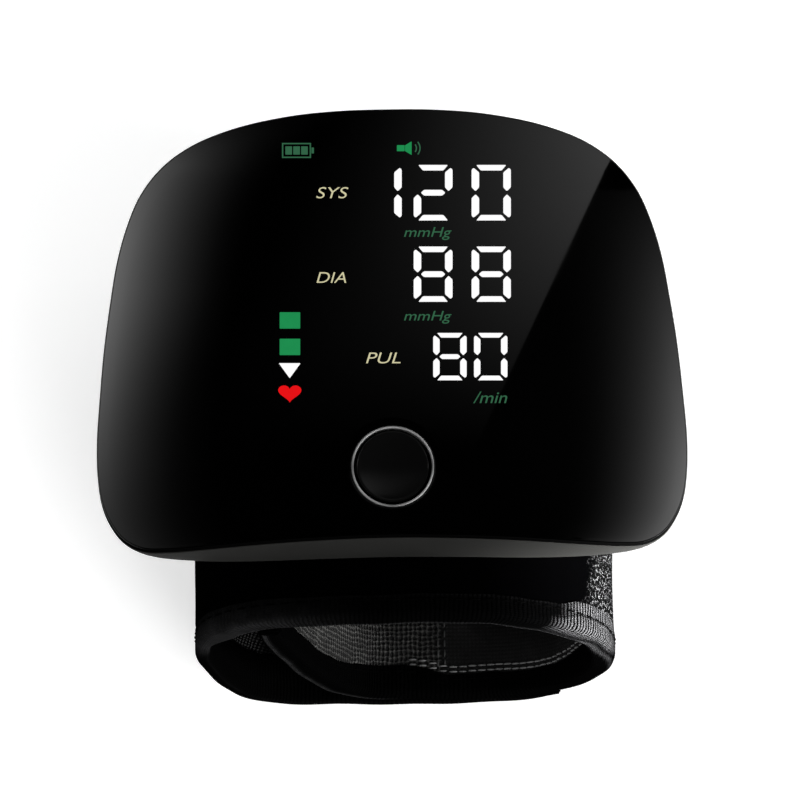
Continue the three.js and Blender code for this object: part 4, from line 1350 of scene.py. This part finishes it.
# double row of pale stitches where the smooth lining meets the tape, and along the seam to the mesh
def build_lining_stitches():
    V, F, UV, MI = [], [], [], []
    spots = []
    for s in np.arange(S_RIGHT + 18, SEAM + 4.5, 1.5):
        x, z, tx, tz, nx, nz = path(s)
        d = float(thick(s)) + 0.06
        for k in (0.45, 1.2):
            w = in_w(s) + k
            y = CY0 + w
            dd = d + wave(s, y) + pucker(s, k)
            spots.append(((x + nx * dd, y, z + nz * dd), (tx, 0, tz), (nx, 0, nz)))
    for w in np.arange(in_w(SEAM) + 1.6, CY1 - CY0 - IN_W, 1.5):
        for off in (-0.5, 0.5):
            s = SEAM + off
            x, z, tx, tz, nx, nz = path(s)
            y = CY0 + w
            dd = float(thick(s)) + 0.04 + wave(s, y)
            spots.append(((x + nx * dd, y, z + nz * dd), (0, 1, 0), (nx, 0, nz)))
    seam = [q for q in spots if q[1] == (0, 1, 0)]
    V, F, UV, MI = add_stitches(V, F, UV, MI, [q for q in spots if q[1] != (0, 1, 0)], 1.2, 0.13, 0)
    V, F, UV, MI = add_stitches(V, F, UV, MI, seam, 1.15, 0.12, 1)
    ob = make("lining_stitches", V, F, [M["thread_pale"], M["thread_seam"]], uvs=UV, midx=MI, smooth_angle=60)
    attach(ob, "cuff_right")


build_lining_stitches()

# ------------------------------------------------------------------ finishes of the CAD nodes that stay
KEEP = {
    "rear_housing": "rear", "display_reflector": "frame", "display_board": "board", "main_board": "board",
    "switch_body": "part", "switch_plunger": "part", "battery": "foil", "pump_motor": "steel", "pump_head": "part",
    "release_valve": "steel", "pressure_sensor": "part", "air_manifold": "silicone", "tube_pump": "silicone",
    "tube_valve": "silicone", "tube_sensor": "silicone", "speaker": "steel", "charge_board": "board",
    "charge_port": "steel", "cuff_top_core": "core", "cuff_top_bladder": "bladder", "cuff_right_core": "core",
    "cuff_right_bladder": "bladder",
}
for i in range(1, 5):
    KEEP[f"housing_screw_{i}"] = KEEP[f"cuff_screw_{i}"] = "steel"
for node, key in KEEP.items():
    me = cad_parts[node].data
    me.materials.clear()
    me.materials.append(M[key])

def soften(node, width, angle=32):
    """Rounds the edges of a CAD piece and shades its fine facets smooth, without touching its own mesh."""
    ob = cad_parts[node]
    bv = ob.modifiers.new("edges", "BEVEL")
    bv.width, bv.segments, bv.limit_method, bv.angle_limit = width / 1000, 2, "ANGLE", R(angle)
    bv.use_clamp_overlap = True
    g = bpy.data.node_groups.new(f"shade_{node}", "GeometryNodeTree")
    g.interface.new_socket("Geometry", in_out="INPUT", socket_type="NodeSocketGeometry")
    g.interface.new_socket("Geometry", in_out="OUTPUT", socket_type="NodeSocketGeometry")
    gi, go = g.nodes.new("NodeGroupInput"), g.nodes.new("NodeGroupOutput")
    faces = g.nodes.new("GeometryNodeSetShadeSmooth")
    faces.domain = "FACE"
    edges = g.nodes.new("GeometryNodeSetShadeSmooth")
    edges.domain = "EDGE"
    turn = g.nodes.new("GeometryNodeInputMeshEdgeAngle")
    flat = g.nodes.new("FunctionNodeCompare")
    flat.data_type, flat.operation = "FLOAT", "LESS_THAN"
    flat.inputs[1].default_value = R(40)
    g.links.new(gi.outputs[0], faces.inputs[0])
    g.links.new(faces.outputs[0], edges.inputs[0])
    g.links.new(turn.outputs[0], flat.inputs[0])
    g.links.new(flat.outputs[0], edges.inputs[2])
    g.links.new(edges.outputs[0], go.inputs[0])
    md = ob.modifiers.new("shading", "NODES")
    md.node_group = g


soften("rear_housing", 0.35)

# ------------------------------------------------------------------ floor, cards and light
def stage_mat_floor():
    m = bpy.data.materials.new("pale_floor")
    m.use_nodes = True
    t = m.node_tree
    t.nodes.clear()
    n = N(t)
    out = n.new("ShaderNodeOutputMaterial")
    d = n.new("ShaderNodeBsdfPrincipled")
    d.inputs["Base Color"].default_value = (0.84, 0.84, 0.84, 1)
    d.inputs["Roughness"].default_value = 0.9
    d.inputs["Specular IOR Level"].default_value = 0.0
    d.inputs["Emission Color"].default_value = (1, 1, 1, 1)
    d.inputs["Emission Strength"].default_value = 0.5
    clear = n.new("ShaderNodeBsdfTransparent")
    mix = n.new("ShaderNodeMixShader")
    n.link(n.new("ShaderNodeNewGeometry").outputs["Backfacing"], mix.inputs[0])
    n.link(d.outputs[0], mix.inputs[1])
    n.link(clear.outputs[0], mix.inputs[2])
    n.link(mix.outputs[0], out.inputs[0])
    return m


me = bpy.data.meshes.new("floor")
FL = 8.0
me.from_pydata([(-FL, -FL, -0.0004), (FL, -FL, -0.0004), (FL, FL, -0.0004), (-FL, FL, -0.0004)], [], [(0, 1, 2, 3)])
floor = bpy.data.objects.new("floor", me)
COL.objects.link(floor)
me.materials.append(stage_mat_floor())


def reflect_hit(px, py, height):
    """Where the mirror image of this place of the face lies on a level plane, in mm."""
    p = on_face(px, py)
    d = (p - CAM_P).normalized()
    nrm = face_n(p.x, p.y)
    r = d - nrm * (2 * d.dot(nrm))
    if r.z < 0.02:
        r.z = 0.02
    q = p + r * ((height - p.z) / r.z)
    return q


def card(name, height, rows, power):
    """A soft light card above the object. rows: lists of (px, py, glow) over the face that mirrors it."""
    V, G = [], []
    for r in rows:
        for px, py, g in r:
            q = reflect_hit(px, py, height)
            V.append((q.x / 1000, (q.y + SY) / 1000, q.z / 1000))
            G.append(g)
    n, m = len(rows), len(rows[0])
    me = bpy.data.meshes.new(name)
    me.from_pydata(V, [], grid_faces(n, m, False))
    at = me.attributes.new("glow", "FLOAT", "POINT")
    at.data.foreach_set("value", np.array(G, np.float32))
    ob = bpy.data.objects.new(name, me)
    COL.objects.link(ob)
    mat = bpy.data.materials.new(name)
    mat.use_nodes = True
    t = mat.node_tree
    t.nodes.clear()
    nn = N(t)
    out = nn.new("ShaderNodeOutputMaterial")
    em = nn.new("ShaderNodeEmission")
    a = nn.new("ShaderNodeAttribute", attribute_name="glow")
    nn.link(nn.math("MULTIPLY", a.outputs["Fac"], power), em.inputs["Strength"])
    tr = nn.new("ShaderNodeBsdfTransparent")
    add = nn.new("ShaderNodeAddShader")
    nn.link(em.outputs[0], add.inputs[0])
    nn.link(tr.outputs[0], add.inputs[1])
    nn.link(add.outputs[0], out.inputs[0])
    me.materials.append(mat)
    ob.visible_camera = False
    ob.visible_shadow = False
    return ob


def edge_x(py):
    """The slanting edge of the upper card's mirror image."""
    return 612 + (py - 155) * (460 - 612) / (480 - 155)


def lin(v):
    """Light for a wanted tone of 0 to 255."""
    return float(((max(v, 0.0) / 255 + 0.055) / 1.055) ** 2.4 - (0.055 / 1.055) ** 2.4)


_out_px = [pixel_of(Vector((x, y, face_z(x, y)))) for x, y in OUTLINE]


def side_x(py, right):
    """Where the face's left or right side lies in this row of the picture."""
    near = [p[0] for p in _out_px if abs(p[1] - py) < 12 and (p[0] > 400) == right]
    return (max(near) if right else min(near)) if near else (686.0 if right else 99.0)


rows = []
for py in np.linspace(95, 520, 34):
    r = []
    xe = edge_x(py)
    for q in np.linspace(0, 1, 24):
        px = xe - (1 - q) * 300
        r.append((px, py, lin((58 - 0.2 * (py - 160)) * q ** 1.17)))
    rows.append(r)
card("card_top", 1500, rows, 24.0)

rows = []
for py in np.linspace(112, 560, 34):
    r = []
    e = 103 * math.exp(-((py - 265) / (220 if py < 265 else 300)) ** 2) * float(smooth((py - 100) / 70))
    x0 = side_x(py, False)
    for d in np.linspace(-14, 134, 28):
        r.append((x0 + d, py, lin(e * max(0.0, 1 - max(d, 0) / 130) ** (1.6 + 0.6 * float(smooth((py - 280) / 150))))))
    rows.append(r)
card("card_left", 1400, rows, 25.5)

rows = []
for py in np.linspace(190, 560, 30):
    r = []
    e = max(0.0, 105 - 72 * (max(0.0, 500 - py) / 250) ** 1.15)
    x0 = side_x(py, True)
    for d in np.linspace(-14, 128, 28):
        r.append((x0 - d, py, lin(e * max(0.0, 1 - max(d, 0) / 125) ** 2)))
    rows.append(r)
card("card_right", 1450, rows, 25.5)


def area(name, loc, target, size, power, glossy=True, color=(1, 1, 1), size_y=None):
    li = bpy.data.lights.new(name, "AREA")
    li.shape = "RECTANGLE"
    li.size, li.size_y = size, size_y or size
    li.energy = power
    li.color = color
    ob = bpy.data.objects.new(name, li)
    COL.objects.link(ob)
    ob.location = loc
    ob.rotation_mode = "QUATERNION"
    ob.rotation_quaternion = (Vector(target) - Vector(loc)).to_track_quat("-Z", "Y")
    ob.visible_glossy = glossy
    ob.visible_camera = False
    return ob


area("top_light", (0, 0, 2.6), (0, 0, 0), 3.2, 52, glossy=False)
area("front_light", (0.8, -1.3, 0.85), (0, 0, 0.03), 0.6, 13.5, glossy=False)
area("left_light", (-1.15, -0.35, 0.16), (-0.02, -0.01, 0.035), 0.3, 6, glossy=False)
area("right_light", (1.15, -0.5, 0.10), (0.02, -0.02, 0.04), 0.3, 40, glossy=False)


def spot(name, loc, target, watts, degrees, blend, soft):
    li = bpy.data.lights.new(name, "SPOT")
    li.energy, li.spot_size, li.spot_blend, li.shadow_soft_size = watts, R(degrees), blend, soft
    ob = bpy.data.objects.new(name, li)
    COL.objects.link(ob)
    ob.location = loc
    ob.rotation_mode = "QUATERNION"
    ob.rotation_quaternion = (Vector(target) - Vector(loc)).to_track_quat("-Z", "Y")
    ob.visible_glossy = False
    return ob


aim = Vector((0.0335, (-37.5 + SY) / 1000, 0.038))
spot("shoulder_spot", aim + Vector((0.52, -0.36, 0.24)), aim, 200, 2.8, 1.0, 0.012)
aim = Vector((0.044, (-33.0 + SY) / 1000, 0.0505))
spot("chin_spot", aim + Vector((0.43, -0.43, 0.012)), aim, 380, 4.0, 1.0, 0.010)

world = bpy.data.worlds.new("studio")
bpy.context.scene.world = world
world.use_nodes = True
t = world.node_tree
t.nodes.clear()
n = N(t)
bg = n.new("ShaderNodeBackground")
out = n.new("ShaderNodeOutputWorld")
n.link(bg.outputs[0], out.inputs[0])
d = n.split(n.new("ShaderNodeTexCoord").outputs["Generated"])
up = n.range(d[2], 0.0, 0.40, 0.9, 0.001)
seen = n.new("ShaderNodeLightPath").outputs["Is Camera Ray"]      # a white backdrop behind the object from any side
glow_in = n.math("MULTIPLY", n.math("POWER", up, 1.6), n.range(d[0], -0.6, 0.3, 0.3, 1.0))
n.link(n.math("MAXIMUM", glow_in, seen), bg.inputs["Strength"])
bg.inputs["Color"].default_value = (1, 1, 1, 1)

sc = bpy.context.scene
sc.view_settings.view_transform = "Standard"
sc.view_settings.look = "None"
sc.view_settings.exposure = 0
sc.view_settings.gamma = 1
